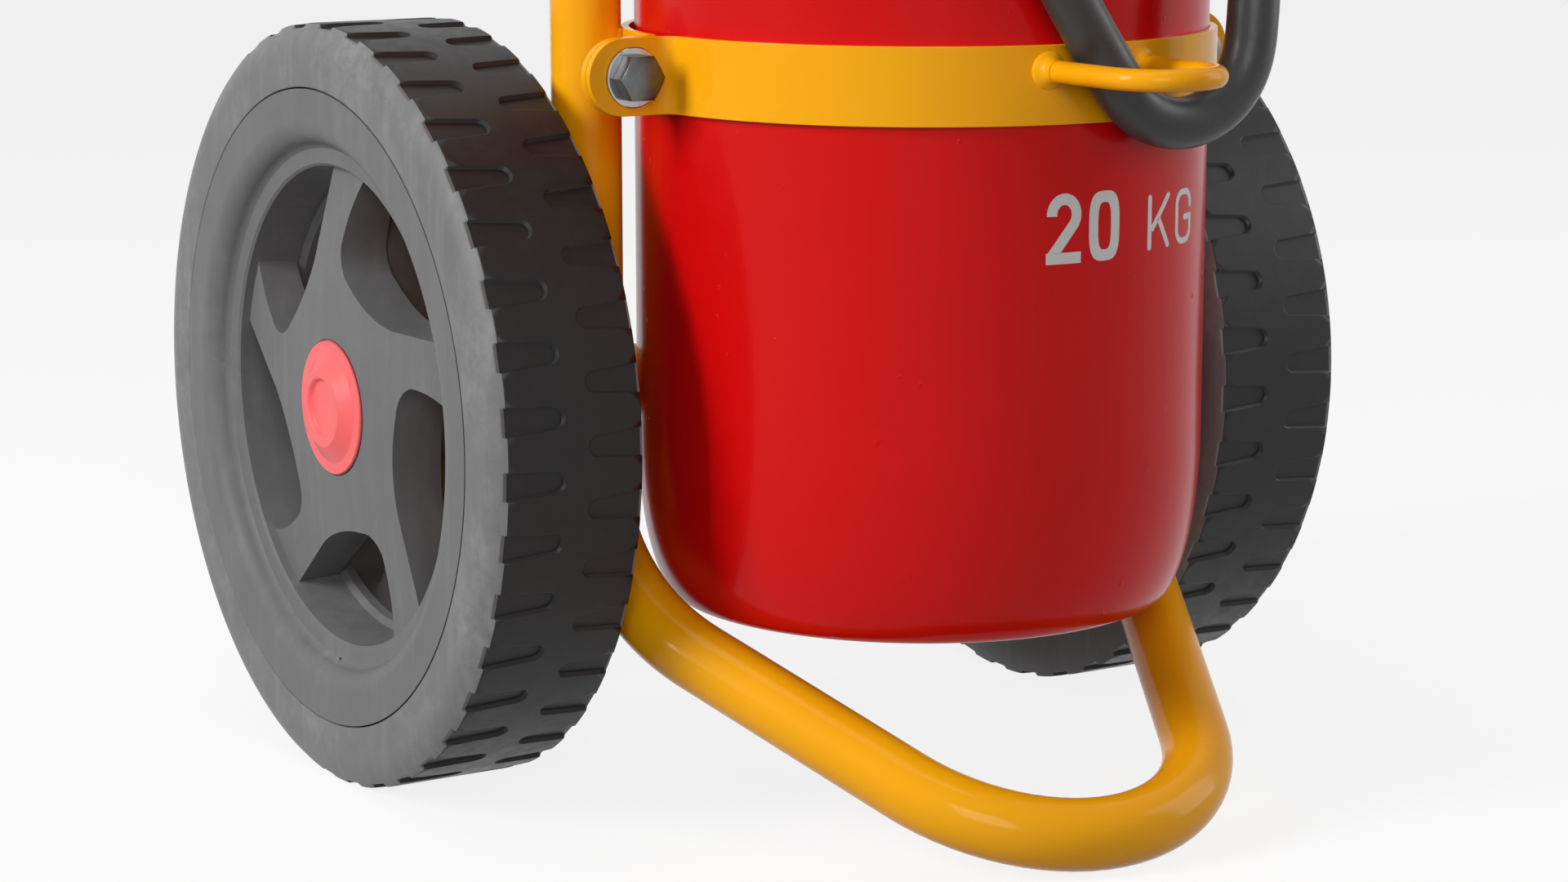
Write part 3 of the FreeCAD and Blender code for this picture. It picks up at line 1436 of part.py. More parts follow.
def main():
    os.makedirs("parts", exist_ok=True)
    place_wheel_piece("tyre", make_tyre())
    place_wheel_piece("rim", make_rim())
    place_wheel_piece("wheel_bush", make_bush())
    place_wheel_piece("hub_cap", make_hub_cap())
    save("inner_washers", both_sides(make_inner_washer()))
    save("outer_washers", both_sides(make_outer_washer()))
    save("retaining_clips", both_sides(make_clip()))
    save("axle", make_axle())
    save("axle_tube", make_axle_tube())
    foot_loop = make_foot_loop()
    save("foot_loop", foot_loop)
    save("axle_bracket_right", make_axle_bracket(1, foot_loop))
    save("axle_bracket_left", make_axle_bracket(-1, foot_loop))
    save("upright_right", make_upright(1))
    save("upright_left", make_upright(-1))
    save("handle_bow", make_handle_bow())
    save("handle_grip", make_handle_grip())
    save("strap_lower_front", make_strap(lower_strap_height, -1))
    save("strap_lower_rear", make_strap(lower_strap_height, 1))
    save("strap_upper_front", make_strap(upper_strap_height, -1))
    save("strap_upper_rear", make_strap(upper_strap_height, 1))
    save("strap_bolts", make_strap_bolts())
    save("strap_washers", make_strap_washers())
    save("strap_nuts", make_strap_nuts())
    save("hose_guide", make_hose_guide())
    save("cylinder_shell", make_cylinder_shell())
    save("neck_collar", make_neck_collar())
    save("neck_seal", make_neck_seal())
    save("valve_body", make_valve_body())
    save("dip_tube", make_dip_tube())
    save("valve_stem", make_valve_stem())
    save("stem_seal", make_stem_seal())
    save("valve_spring", make_valve_spring())
    save("valve_handle", make_valve_handle())
    save("handle_screws", make_handle_screws())
    save("squeeze_lever", make_squeeze_lever())
    save("lever_pin", make_lever_pin())
    save("safety_pin", make_safety_pin())
    save("gauge_case", make_gauge_case())
    save("gauge_dial", make_gauge_dial())
    save("gauge_needle", make_gauge_needle())
    save("gauge_lens", make_gauge_lens())
    save("hose_coupling", make_hose_coupling())
    save("hose_ferrule_valve", make_hose_ferrule_valve())
    save("hose_ferrule_nozzle", make_hose_ferrule_nozzle())
    save("hose", make_hose())
    save("nozzle_body", make_nozzle_body())
    save("nozzle_barrel", make_nozzle_barrel())
    save("nozzle_tip", make_nozzle_tip())
    save("trigger_lever", make_trigger_lever())
    save("trigger_pin", make_trigger_pin())
    save("trigger_plunger", make_trigger_plunger())
    save("trigger_spring", make_trigger_spring())
    save("nozzle_cradle", make_nozzle_cradle())


main()
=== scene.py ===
import bpy
import bmesh
import json
import math
from mathutils import Matrix, Vector
from mathutils.geometry import delaunay_2d_cdt


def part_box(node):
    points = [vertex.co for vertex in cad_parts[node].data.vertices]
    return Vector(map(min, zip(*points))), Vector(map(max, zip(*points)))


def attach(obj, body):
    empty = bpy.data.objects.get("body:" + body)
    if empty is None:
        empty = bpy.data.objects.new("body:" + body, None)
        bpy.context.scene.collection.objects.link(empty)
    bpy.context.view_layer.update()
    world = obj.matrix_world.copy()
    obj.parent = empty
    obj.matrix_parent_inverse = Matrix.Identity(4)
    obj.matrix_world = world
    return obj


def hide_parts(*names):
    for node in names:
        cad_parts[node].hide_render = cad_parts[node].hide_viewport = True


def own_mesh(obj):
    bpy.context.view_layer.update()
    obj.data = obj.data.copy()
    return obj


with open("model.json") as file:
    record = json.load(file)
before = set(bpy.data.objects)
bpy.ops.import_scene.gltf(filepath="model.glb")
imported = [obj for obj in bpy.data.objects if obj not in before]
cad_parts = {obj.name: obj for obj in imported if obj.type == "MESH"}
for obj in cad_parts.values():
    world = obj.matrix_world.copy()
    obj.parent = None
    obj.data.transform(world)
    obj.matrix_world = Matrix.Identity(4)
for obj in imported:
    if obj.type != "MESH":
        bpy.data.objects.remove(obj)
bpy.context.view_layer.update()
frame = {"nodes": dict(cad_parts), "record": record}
scene = bpy.context.scene
nodes = frame["nodes"]
behaviour = frame["record"]["behaviour"]
print("frame loaded:", len(nodes), "nodes")

# places and sizes that several pieces use, in millimetres
shared = {"cylinderY": -53.55, "cylinderRadius": 109.55, "tube": 13.45, "halfWidth": 115.0, "uprightY": 3.05,
          "axleY": 75.15, "axleZ": 150.0, "straps": (286.3, 600.0)}


def mm(*values):
    # millimetres to a Vector in metres
    return Vector([value / 1000 for value in values])


def addToScene(obj):
    scene.collection.objects.link(obj)
    return obj


# Camera, solved from the two wheels
cameraLook = {"place": (-0.7910, -1.2096, 0.4035), "tilt": 79.263, "turn": -32.24, "lens": 83.77}
cameraData = bpy.data.cameras.new("productCamera")
cameraData.lens = cameraLook["lens"]
cameraData.sensor_width = 36
cameraData.clip_end = 60
productCamera = addToScene(bpy.data.objects.new("productCamera", cameraData))
productCamera.location = cameraLook["place"]
productCamera.rotation_euler = (math.radians(cameraLook["tilt"]), 0, math.radians(cameraLook["turn"]))
scene.camera = productCamera
scene.view_settings.view_transform = "Standard"
print("camera placed")


# Helpers for meshes
def meshObject(name, verts, faces=(), edges=(), smooth=True):
    mesh = bpy.data.meshes.new(name)
    mesh.from_pydata([tuple(v) for v in verts], edges, faces)
    mesh.update()
    if smooth:
        mesh.polygons.foreach_set("use_smooth", [True] * len(mesh.polygons))
    return addToScene(bpy.data.objects.new(name, mesh))


def reshape(obj, change):
    # run a change on the object's mesh
    work = bmesh.new()
    work.from_mesh(obj.data)
    change(work)
    work.to_mesh(obj.data)
    work.free()
    return obj


def faceOutwards(obj):
    def change(work):
        bmesh.ops.remove_doubles(work, verts=work.verts, dist=1e-7)
        bmesh.ops.recalc_face_normals(work, faces=work.faces)
    return reshape(obj, change)


def sharpenByAngle(obj, degrees=35):
    # smooth everywhere but across hard edges
    def change(work):
        for face in work.faces:
            face.smooth = True
        for edge in work.edges:
            edge.smooth = not (edge.is_manifold and edge.calc_face_angle(0) > math.radians(degrees))
    return reshape(obj, change)


def bakeModifiers(obj):
    # turn the evaluated object into a plain mesh
    bpy.context.view_layer.update()
    graph = bpy.context.evaluated_depsgraph_get()
    mesh = bpy.data.meshes.new_from_object(obj.evaluated_get(graph))
    old = obj.data
    obj.modifiers.clear()
    obj.data = mesh
    mesh.name = obj.name
    if old.users == 0:
        bpy.data.meshes.remove(old)
    return obj


def softEdges(obj, width, angle=35):
    bevel = obj.modifiers.new("softEdges", "BEVEL")
    bevel.width = width
    bevel.segments = 2
    bevel.limit_method = "ANGLE"
    bevel.angle_limit = math.radians(angle)
    bevel.harden_normals = True
    bevel.use_clamp_overlap = True
    bevel.miter_outer = "MITER_ARC"
    return bakeModifiers(obj)


def softCopy(name, source, width):
    # a node's solids as a mesh with small rounded edges
    obj = addToScene(bpy.data.objects.new(name, bpy.data.meshes.new(name)))
    work = bmesh.new()
    work.from_mesh(nodes[source].data)
    bmesh.ops.remove_doubles(work, verts=work.verts, dist=2e-6)
    bmesh.ops.dissolve_limit(work, angle_limit=math.radians(0.4), verts=work.verts, edges=work.edges)
    work.to_mesh(obj.data)
    work.free()
    return softEdges(sharpenByAngle(obj), width)


def thicken(obj, thickness):
    thick = obj.modifiers.new("thick", "SOLIDIFY")
    thick.thickness = thickness
    thick.offset = -1
    return bakeModifiers(obj)


def lathe(name, profile, steps, start=(0, 0, 0), direction=(0, 0, 1), hard=35):
    # profile points are (radius, along) in millimetres; radius 0 makes a pole, a repeated first point a tube
    rings, verts, faces = [], [], []
    for radius, along in profile:
        count = steps if radius >= 1e-4 else 1
        rings.append(range(len(verts), len(verts) + count))
        for step in range(count):
            angle = 2 * math.pi * step / steps
            verts.append(mm(radius * math.cos(angle), radius * math.sin(angle), along))
    for low, high in zip(rings, rings[1:]):
        for step in range(steps):
            after = (step + 1) % steps
            loop = [low[step % len(low)], low[after % len(low)], high[after % len(high)], high[step % len(high)]]
            loop = list(dict.fromkeys(loop))
            if len(loop) > 2:
                faces.append(loop)
    turn = Vector(direction).to_track_quat("Z", "Y").to_matrix().to_4x4()
    place = Matrix.Translation(mm(*start)) @ turn
    return sharpenByAngle(faceOutwards(meshObject(name, [place @ v for v in verts], faces)), hard)


def arcPoints(x, y, rx, ry, start, end, steps):
    # points on a flat arc, angles in degrees
    angles = [math.radians(start + (end - start) * step / steps) for step in range(steps + 1)]
    return [(x + rx * math.cos(angle), y + ry * math.sin(angle)) for angle in angles]


# Hose: the route's points are the spline's own control points
hoseLook = {"radius": 9.5, "length": 1.06}
hoseRoute = [
    (-68.81, -101.73, 800), (-96.99, -121.46, 800), (-128.1, -143.3, 787.6), (-154, -161.4, 763),
    (-171.5, -173.8, 727.4), (-179.5, -181.5, 681), (-178, -186, 630), (-167.5, -188.5, 578),
    (-149, -190, 527), (-125.5, -190.5, 478), (-98.5, -189, 432), (-71, -185.8, 391), (-46, -180.5, 354),
    (-24, -176.8, 322), (-6.6, -176.2, 297.5), (8.5, -176, 276.5), (28.4, -176, 269.7),
    (47.7, -176, 274.9), (60.8, -175.5, 290), (63.6, -174.8, 313), (66.2, -171.8, 341), (77, -162.3, 372),
    (94.5, -147, 397), (114.5, -121.5, 416), (132, -91.5, 433.5), (147.7, -61.7, 455),
    (157.8, -39.8, 483.5), (163, -28.85, 518.5), (163, -28.85, 553),
]


def makeHose():
    curve = bpy.data.curves.new("hose", "CURVE")
    curve.dimensions = "3D"
    spline = curve.splines.new("NURBS")
    spline.points.add(len(hoseRoute) - 1)
    for point, place in zip(spline.points, hoseRoute):
        point.co = (*mm(*place), 1)
    spline.order_u = 3
    spline.use_endpoint_u = True
    curve.resolution_u = 10
    curve.bevel_depth = hoseLook["radius"] / 1000
    curve.bevel_resolution = 6
    curve.use_fill_caps = True
    return addToScene(bpy.data.objects.new("rubberHose", curve))


rubberHose = makeHose()
print("hose laid")


# Helpers for node trees; a value given to a socket is a constant or another node's output
def feed(tree, socket, value):
    if isinstance(value, bpy.types.NodeSocket):
        tree.links.new(value, socket)
    else:
        socket.default_value = value


def addNode(tree, kind, values=None, **settings):
    node = tree.nodes.new(kind)
    for key, setting in settings.items():
        setattr(node, key, setting)
    for key, value in (values or {}).items():
        feed(tree, node.inputs[key], value)
    return node


def noise(tree, vector, scale, detail=3, roughness=0.5):
    values = {"Vector": vector, "Scale": scale, "Detail": detail, "Roughness": roughness}
    return addNode(tree, "ShaderNodeTexNoise", values).outputs["Fac"]


def remap(tree, value, low, high, newLow=0.0, newHigh=1.0):
    values = {"Value": value, "From Min": low, "From Max": high, "To Min": newLow, "To Max": newHigh}
    return addNode(tree, "ShaderNodeMapRange", values).outputs["Result"]


def math2(tree, operation, a, b):
    return addNode(tree, "ShaderNodeMath", {0: a, 1: b}, operation=operation).outputs[0]


def times(tree, a, b):
    return math2(tree, "MULTIPLY", a, b)


def plus(tree, a, b):
    return math2(tree, "ADD", a, b)


def mixColour(tree, factor, a, b):
    return addNode(tree, "ShaderNodeMix", {0: factor, 6: a, 7: b}, data_type="RGBA").outputs[2]


# Finishes: each shader group gives a colour, a roughness and a normal
def newGroup(name, inputs):
    tree = bpy.data.node_groups.new(name, "ShaderNodeTree")
    for label, value in inputs.items():
        kind = {3: "Vector", 4: "Color"}[len(value)] if isinstance(value, tuple) else "Float"
        socket = tree.interface.new_socket(label, in_out="INPUT", socket_type="NodeSocket" + kind)
        socket.default_value = value
    for label, kind in (("Colour", "Color"), ("Roughness", "Float"), ("Normal", "Vector")):
        tree.interface.new_socket(label, in_out="OUTPUT", socket_type="NodeSocket" + kind)
    point = addNode(tree, "ShaderNodeTexCoord").outputs["Object"]
    return tree, addNode(tree, "NodeGroupInput").outputs, point


def closeGroup(tree, colour, roughness, height, strength, distance):
    bump = addNode(tree, "ShaderNodeBump", {"Strength": strength, "Distance": distance, "Height": height})
    addNode(tree, "NodeGroupOutput", {"Colour": colour, "Roughness": roughness, "Normal": bump.outputs["Normal"]})
    return tree


def buildEnamelGroup():
    # sprayed enamel: broad tint drift, dust nibs under the paint and a faint orange peel
    tree, given, point = newGroup("sprayedEnamel", {
        "Colour": (0.8, 0.1, 0.1, 1), "Shade": (0.5, 0.05, 0.05, 1), "Peel": 0.1, "Nibs": 0.5, "Gloss": 0.2})
    drift = remap(tree, noise(tree, point, 6, 4, 0.6), 0.35, 0.68)
    fine = remap(tree, noise(tree, point, 90, 3, 0.6), 0.3, 0.75)
    nibs = remap(tree, noise(tree, point, 210, 1, 0.4), 0.74, 0.8)
    nibs = times(tree, nibs, remap(tree, noise(tree, point, 14, 2), 0.45, 0.62))
    colour = mixColour(tree, times(tree, drift, 0.5), given["Colour"], given["Shade"])
    colour = mixColour(tree, times(tree, fine, 0.08), colour, given["Shade"])
    rough = plus(tree, plus(tree, given["Gloss"], times(tree, drift, 0.06)), times(tree, nibs, 0.2))
    peel = times(tree, noise(tree, point, 340, 2, 0.5), given["Peel"])
    height = plus(tree, peel, times(tree, nibs, given["Nibs"]))
    return closeGroup(tree, colour, rough, height, 0.35, 0.0006)


def buildMouldedGroup():
    # moulded plastic or rubber: mottling, vertical streaks, rubbed patches and a fine grain
    tree, given, point = newGroup("mouldedGrain", {
        "Colour": (0.1, 0.1, 0.1, 1), "Rubbed": (0.2, 0.2, 0.2, 1), "Wear": 0.5, "Streaks": 0.3, "Grain": 0.2,
        "Gloss": 0.45})
    stretched = addNode(tree, "ShaderNodeMapping", {"Vector": point, "Scale": (1, 1, 0.08)}).outputs["Vector"]
    broad = remap(tree, noise(tree, point, 16, 5, 0.65), 0.38, 0.68)
    small = remap(tree, noise(tree, point, 120, 4, 0.7), 0.35, 0.7)
    streak = remap(tree, noise(tree, stretched, 150, 2, 0.5), 0.5, 0.72)
    wear = times(tree, times(tree, broad, small), given["Wear"])
    wear = plus(tree, wear, times(tree, streak, given["Streaks"]))
    colour = mixColour(tree, wear, given["Colour"], given["Rubbed"])
    rough = plus(tree, given["Gloss"], times(tree, small, 0.14))
    grain = times(tree, noise(tree, point, 900, 2, 0.6), given["Grain"])
    return closeGroup(tree, colour, rough, plus(tree, grain, times(tree, small, 0.1)), 0.3, 0.0004)


def buildMetalGroup():
    # turned or rolled metal: fine lines along one direction, dull patches
    tree, given, point = newGroup("workedMetal", {
        "Colour": (0.6, 0.6, 0.6, 1), "Dull": (0.4, 0.4, 0.4, 1), "Lines": (400, 400, 20), "Gloss": 0.25})
    scaled = addNode(tree, "ShaderNodeVectorMath", {0: point, 1: given["Lines"]}, operation="MULTIPLY")
    lines = noise(tree, scaled.outputs["Vector"], 1, 3, 0.6)
    patches = remap(tree, noise(tree, point, 45, 4, 0.6), 0.4, 0.7)
    colour = mixColour(tree, patches, given["Colour"], given["Dull"])
    rough = plus(tree, plus(tree, given["Gloss"], times(tree, lines, 0.12)), times(tree, patches, 0.1))
    return closeGroup(tree, colour, rough, lines, 0.2, 0.0002)


def newMaterial(name, sockets):
    material = bpy.data.materials.new(name)
    material.use_nodes = True
    shader = material.node_tree.nodes["Principled BSDF"]
    for label, value in sockets.items():
        shader.inputs[label].default_value = value
    return material, material.node_tree, shader


def mixFinish(name, group, sockets, values):
    # the values follow the order of the group's inputs
    material, tree, shader = newMaterial(name, sockets)
    node = addNode(tree, "ShaderNodeGroup", node_tree=group)
    for socket, value in zip(node.inputs, values):
        socket.default_value = (*value, 1) if socket.type == "RGBA" else value
    for label, target in (("Colour", "Base Color"), ("Roughness", "Roughness"), ("Normal", "Normal")):
        feed(tree, shader.inputs[target], node.outputs[label])
    return material


# colour, shade, peel, nibs, gloss
enamelLook = {
    "cylinderRed": ((0.66, 0.003, 0.003), (0.56, 0.003, 0.003), 0.22, 0.9, 0.2),
    "frameYellow": ((0.96, 0.43, 0.004), (0.92, 0.36, 0.004), 0.12, 0.2, 0.18),
    "leverBlack": ((0.016, 0.016, 0.017), (0.025, 0.025, 0.026), 0.6, 0.3, 0.36),
}
# colour, rubbed colour, wear, streaks, grain, gloss, shine
mouldedLook = {
    "tyreFace": ((0.15, 0.15, 0.152), (0.32, 0.32, 0.322), 0.7, 0.16, 0.25, 0.42, 0.25),
    "treadRubber": ((0.016, 0.0155, 0.0155), (0.042, 0.041, 0.041), 0.35, 0.06, 0.25, 0.36, 0.25),
    "rimPlastic": ((0.15, 0.15, 0.152), (0.25, 0.25, 0.252), 0.4, 0.16, 0.2, 0.42, 0.14),
    "capRed": ((0.92, 0.13, 0.135), (0.95, 0.22, 0.22), 0.35, 0.0, 0.12, 0.32, 0.35),
    "gripRubber": ((0.02, 0.02, 0.021), (0.045, 0.045, 0.045), 0.4, 0.0, 0.5, 0.5, 0.35),
    "hoseRubber": ((0.034, 0.034, 0.0345), (0.06, 0.06, 0.061), 0.4, 0.0, 0.35, 0.33, 0.35),
    "sealRubber": ((0.015, 0.015, 0.015), (0.03, 0.03, 0.03), 0.3, 0.0, 0.3, 0.6, 0.35),
    "bushPlastic": ((0.7, 0.7, 0.67), (0.6, 0.6, 0.57), 0.4, 0.0, 0.2, 0.4, 0.35),
    "dipPlastic": ((0.75, 0.75, 0.72), (0.65, 0.65, 0.62), 0.4, 0.0, 0.2, 0.4, 0.35),
    "printWhite": ((0.68, 0.67, 0.66), (0.6, 0.59, 0.58), 0.5, 0.0, 0.1, 0.35, 0.35),
    "dialWhite": ((0.85, 0.85, 0.83), (0.8, 0.8, 0.77), 0.3, 0.0, 0.1, 0.5, 0.35),
    "dialGreen": ((0.03, 0.36, 0.08), (0.05, 0.4, 0.1), 0.3, 0.0, 0.1, 0.5, 0.35),
    "dialRed": ((0.6, 0.02, 0.02), (0.65, 0.04, 0.04), 0.3, 0.0, 0.1, 0.5, 0.35),
    "needleBlack": ((0.015, 0.015, 0.015), (0.03, 0.03, 0.03), 0.3, 0.0, 0.1, 0.4, 0.35),
}
# colour, dull colour, noise scale along each axis, gloss
metalLook = {
    "brightSteel": ((0.62, 0.62, 0.63), (0.45, 0.45, 0.46), (300, 300, 300), 0.2),
    "boltSteel": ((0.15, 0.155, 0.16), (0.08, 0.08, 0.083), (240, 240, 240), 0.2),
    "mirrorSteel": ((0.46, 0.47, 0.49), (0.38, 0.39, 0.41), (90, 90, 90), 0.03),
    "springSteel": ((0.5, 0.5, 0.5), (0.38, 0.38, 0.38), (500, 500, 500), 0.3),
    "brass": ((0.78, 0.52, 0.2), (0.6, 0.38, 0.14), (60, 60, 900), 0.22),
    "gunMetal": ((0.5, 0.5, 0.52), (0.4, 0.4, 0.41), (60, 60, 900), 0.28),
}
enamelGroup = buildEnamelGroup()
mouldedGroup = buildMouldedGroup()
metalGroup = buildMetalGroup()
enamelCoat = {"Specular IOR Level": 0.1, "Coat Weight": 0.08, "Coat Roughness": 0.05}
finish = {name: mixFinish(name, enamelGroup, enamelCoat, values) for name, values in enamelLook.items()}
for name, (*values, shine) in mouldedLook.items():
    finish[name] = mixFinish(name, mouldedGroup, {"Specular IOR Level": shine}, values)
for name, values in metalLook.items():
    finish[name] = mixFinish(name, metalGroup, {"Metallic": 1.0}, values)
finish["lensGlass"] = newMaterial("lensGlass", {
    "Base Color": (0.97, 0.98, 0.98, 1), "Transmission Weight": 1.0, "Roughness": 0.02})[0]
print("finishes mixed:", len(finish))

# finish of each material slot of the frame
slotFinish = {
    "tyre": "treadRubber", "rim": "rimPlastic", "cap_red": "capRed", "bush": "bushPlastic",
    "bright_steel": "brightSteel", "mirror_washer": "mirrorSteel", "spring_steel": "springSteel",
    "frame_yellow": "frameYellow", "cylinder_red": "cylinderRed", "grip_rubber": "gripRubber",
    "hose_rubber": "hoseRubber", "seal_rubber": "sealRubber", "brass": "brass", "lever_paint": "leverBlack",
    "gun_metal": "gunMetal", "dial": "dialWhite", "needle": "needleBlack", "lens": "lensGlass",
    "dip_plastic": "dipPlastic",
}
slotOf = {part["node"]: part["material_slot"] for part in frame["record"]["subparts"]}
bodyOf = {member: body for body, members in behaviour["bodies"].items() for member in members}
for nodeName, nodeObject in nodes.items():
    for place in nodeObject.material_slots:
        place.material = finish[slotFinish[slotOf[nodeName]]]


def fit(piece, finishName, *sources, slot=None):
    # give a piece its finish, its body and the nodes it stands for; one that stands for none rides on the frame
    if finishName:
        piece.data.materials.clear()
        piece.data.materials.append(finish[finishName])
    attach(piece, bodyOf[sources[0]] if sources else "frame")
    if sources:
        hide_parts(*sources)
    return piece


fit(rubberHose, "hoseRubber", "hose")


# Geometry trees: the nodes are (type, socket values, settings), the wires "from.output > to.input"
def shapeTree(name, inputs, kinds, wires):
    # every tree ends smoothed, realized and painted
    tree = bpy.data.node_groups.new(name, "GeometryNodeTree")
    for label, kind in {"Geometry": "Geometry", **inputs, "Finish": "Material"}.items():
        tree.interface.new_socket(label, in_out="INPUT", socket_type="NodeSocket" + kind)
    tree.interface.new_socket("Geometry", in_out="OUTPUT", socket_type="NodeSocketGeometry")
    made = {key: addNode(tree, kind, values, **settings) for key, (kind, values, settings) in {
        "given": ("NodeGroupInput", {}, {}), **kinds,
        "smooth": ("GeometryNodeSetShadeSmooth", {}, {}), "realize": ("GeometryNodeRealizeInstances", {}, {}),
        "paint": ("GeometryNodeSetMaterial", {}, {}), "put": ("NodeGroupOutput", {}, {})}.items()}
    for wire in wires + ["smooth.Geometry > realize.Geometry", "realize.Geometry > paint.Geometry",
                         "given.Finish > paint.Material", "paint.Geometry > put.Geometry"]:
        (start, output), (end, socket) = (side.split(".") for side in wire.split(" > "))
        tree.links.new(made[start].outputs[output], made[end].inputs[socket])
    return tree


def shapeBy(obj, tree, values):
    # run a geometry tree on an object and keep the result as a plain mesh
    modifier = obj.modifiers.new("shape", "NODES")
    modifier.node_group = tree
    for item in tree.interface.items_tree:
        if item.item_type == "SOCKET" and item.in_out == "INPUT" and item.name in values:
            modifier[item.identifier] = values[item.name]
    return bakeModifiers(obj)


# Bent tubes: a polyline whose corners are rounded, then swept
tubeTree = shapeTree("bentTube", {
    "Tube Radius": "Float", "Bend Steps": "Int", "Round Steps": "Int", "Closed": "Bool"}, {
    "toCurve": ("GeometryNodeMeshToCurve", {}, {}),
    "bend": ("GeometryNodeInputNamedAttribute", {"Name": "bendRadius"}, {"data_type": "FLOAT"}),
    "join": ("GeometryNodeSetSplineCyclic", {}, {}),
    "fillet": ("GeometryNodeFilletCurve", {}, {"mode": "POLY"}),
    "ring": ("GeometryNodeCurvePrimitiveCircle", {}, {}),
    "sweep": ("GeometryNodeCurveToMesh", {"Fill Caps": True}, {})}, [
    "given.Geometry > toCurve.Mesh", "toCurve.Curve > join.Geometry", "given.Closed > join.Cyclic",
    "join.Geometry > fillet.Curve", "given.Bend Steps > fillet.Count", "bend.Attribute > fillet.Radius",
    "given.Round Steps > ring.Resolution", "given.Tube Radius > ring.Radius", "fillet.Curve > sweep.Curve",
    "ring.Curve > sweep.Profile Curve", "sweep.Mesh > smooth.Geometry"])


def bentTube(name, points, bends, radius, bendSteps, roundSteps, closed=False):
    obj = meshObject(name, [mm(*point) for point in points], edges=[(i, i + 1) for i in range(len(points) - 1)])
    layer = obj.data.attributes.new("bendRadius", "FLOAT", "POINT")
    layer.data.foreach_set("value", [bend / 1000 for bend in bends])
    shapeBy(obj, tubeTree, {
        "Tube Radius": radius / 1000, "Bend Steps": bendSteps, "Round Steps": roundSteps, "Closed": closed,
        "Finish": finish["frameYellow"]})
    return sharpenByAngle(faceOutwards(obj))


frameLook = {"footTilt": 24.0, "footSplay": 23.6, "footRise": 35.0, "frontReach": 259.9, "frontBend": 73.0,
             "rearBend": 100.0, "uprightBend": 60.0, "bowKnee": 870.0, "bowTop": 985.0, "bowBack": 50.0,
             "bowBend": 50.0}


def frameRoute():
    # one closed run: foot, left upright, bow and back down the right upright
    look = frameLook
    side, y, radius = shared["halfWidth"], shared["uprightY"], shared["tube"]
    tilt, splay = math.radians(look["footTilt"]), math.radians(look["footSplay"])
    bend = look["frontBend"]
    frontY = shared["axleY"] - look["frontReach"]
    apexAlong = bend - bend / math.sin(splay)
    rearAlong = bend + (side * math.cos(splay) - bend) / math.sin(splay)
    rearY = frontY + rearAlong * math.cos(tilt)
    rearZ = radius + rearAlong * math.sin(tilt)
    kneeZ = rearZ + (y - rearY) * math.tan(math.radians(look["footRise"]))
    apex = (0, frontY + apexAlong * math.cos(tilt), radius + apexAlong * math.sin(tilt))
    bowY = y + look["bowBack"]
    foot = [(side, y, kneeZ), (side, rearY, rearZ), apex, (-side, rearY, rearZ), (-side, y, kneeZ)]
    bow = [(-side, y, look["bowKnee"]), (-side, bowY, look["bowTop"]), (side, bowY, look["bowTop"]),
           (side, y, look["bowKnee"])]
    ends = [look["uprightBend"], look["rearBend"]]
    return foot + bow, ends + [bend] + ends[::-1] + [look["bowBend"]] * 4


fit(bentTube("trolleyFrame", *frameRoute(), shared["tube"], 28, 64, True),
    "frameYellow", "foot_loop", "upright_left", "upright_right", "handle_bow")
print("frame tube bent")

# Cylinder shell, turned from its wall's profile
cylinderLook = {"base": 79.8, "cornerIn": 16.7, "cornerUp": 65.4, "dishRadius": 84.0, "dishRise": 14.0,
                "shoulder": 690.0, "dome": 65.0, "knuckle": 48.0, "steps": 192}


def cylinderProfile():
    look = cylinderLook
    radius, shoulder, knuckle, dome = shared["cylinderRadius"], look["shoulder"], look["knuckle"], look["dome"]
    cornerTop = look["base"] + look["cornerUp"]
    points = [(look["dishRadius"] * step / 8, look["base"] + look["dishRise"] * (1 - (step / 8) ** 2))
              for step in range(9)]
    points += arcPoints(radius - look["cornerIn"], cornerTop, look["cornerIn"], look["cornerUp"], -90, 0, 24)
    points += [(radius, cornerTop + (shoulder - cornerTop) * step / 12) for step in range(1, 12)]
    offset = radius - knuckle
    crown = (offset ** 2 + dome ** 2 - knuckle ** 2) / (2 * (dome - knuckle))
    crownZ = shoulder + dome - crown
    lean = math.degrees(math.atan2(offset, shoulder - crownZ))
    points += arcPoints(offset, shoulder, knuckle, knuckle, 0, 90 - lean, 18)
    points += arcPoints(0, crownZ, crown, crown, 90 - lean, 90, 20)[1:-1]
    return points + [(0, shoulder + dome)]


fit(lathe("cylinderShell", cylinderProfile(), cylinderLook["steps"], (0, shared["cylinderY"], 0)),
    "cylinderRed", "cylinder_shell")
print("cylinder turned")


# Tyres: one pitch of the tread is triangulated flat, then wrapped and repeated
tyreLook = {"radius": 150.0, "edge": 27.55, "shoulderDrop": 5.5, "bulgeDrop": 13.0, "seat": 124.9,
            "ridge": 129.0, "ridgeHalf": 10.0, "depth": 1.8, "count": 40, "mouth": 5.55, "tip": 3.95,
            "lip": 0.3, "round": 0.35, "halfTrack": 164.0}
tyreRows = {1: {"length": 23.7, "phase": 2.5, "out": 3.65, "bulge": 32.6},
            -1: {"length": 22.0, "phase": 7.0, "out": 2.45, "bulge": 30.9}}


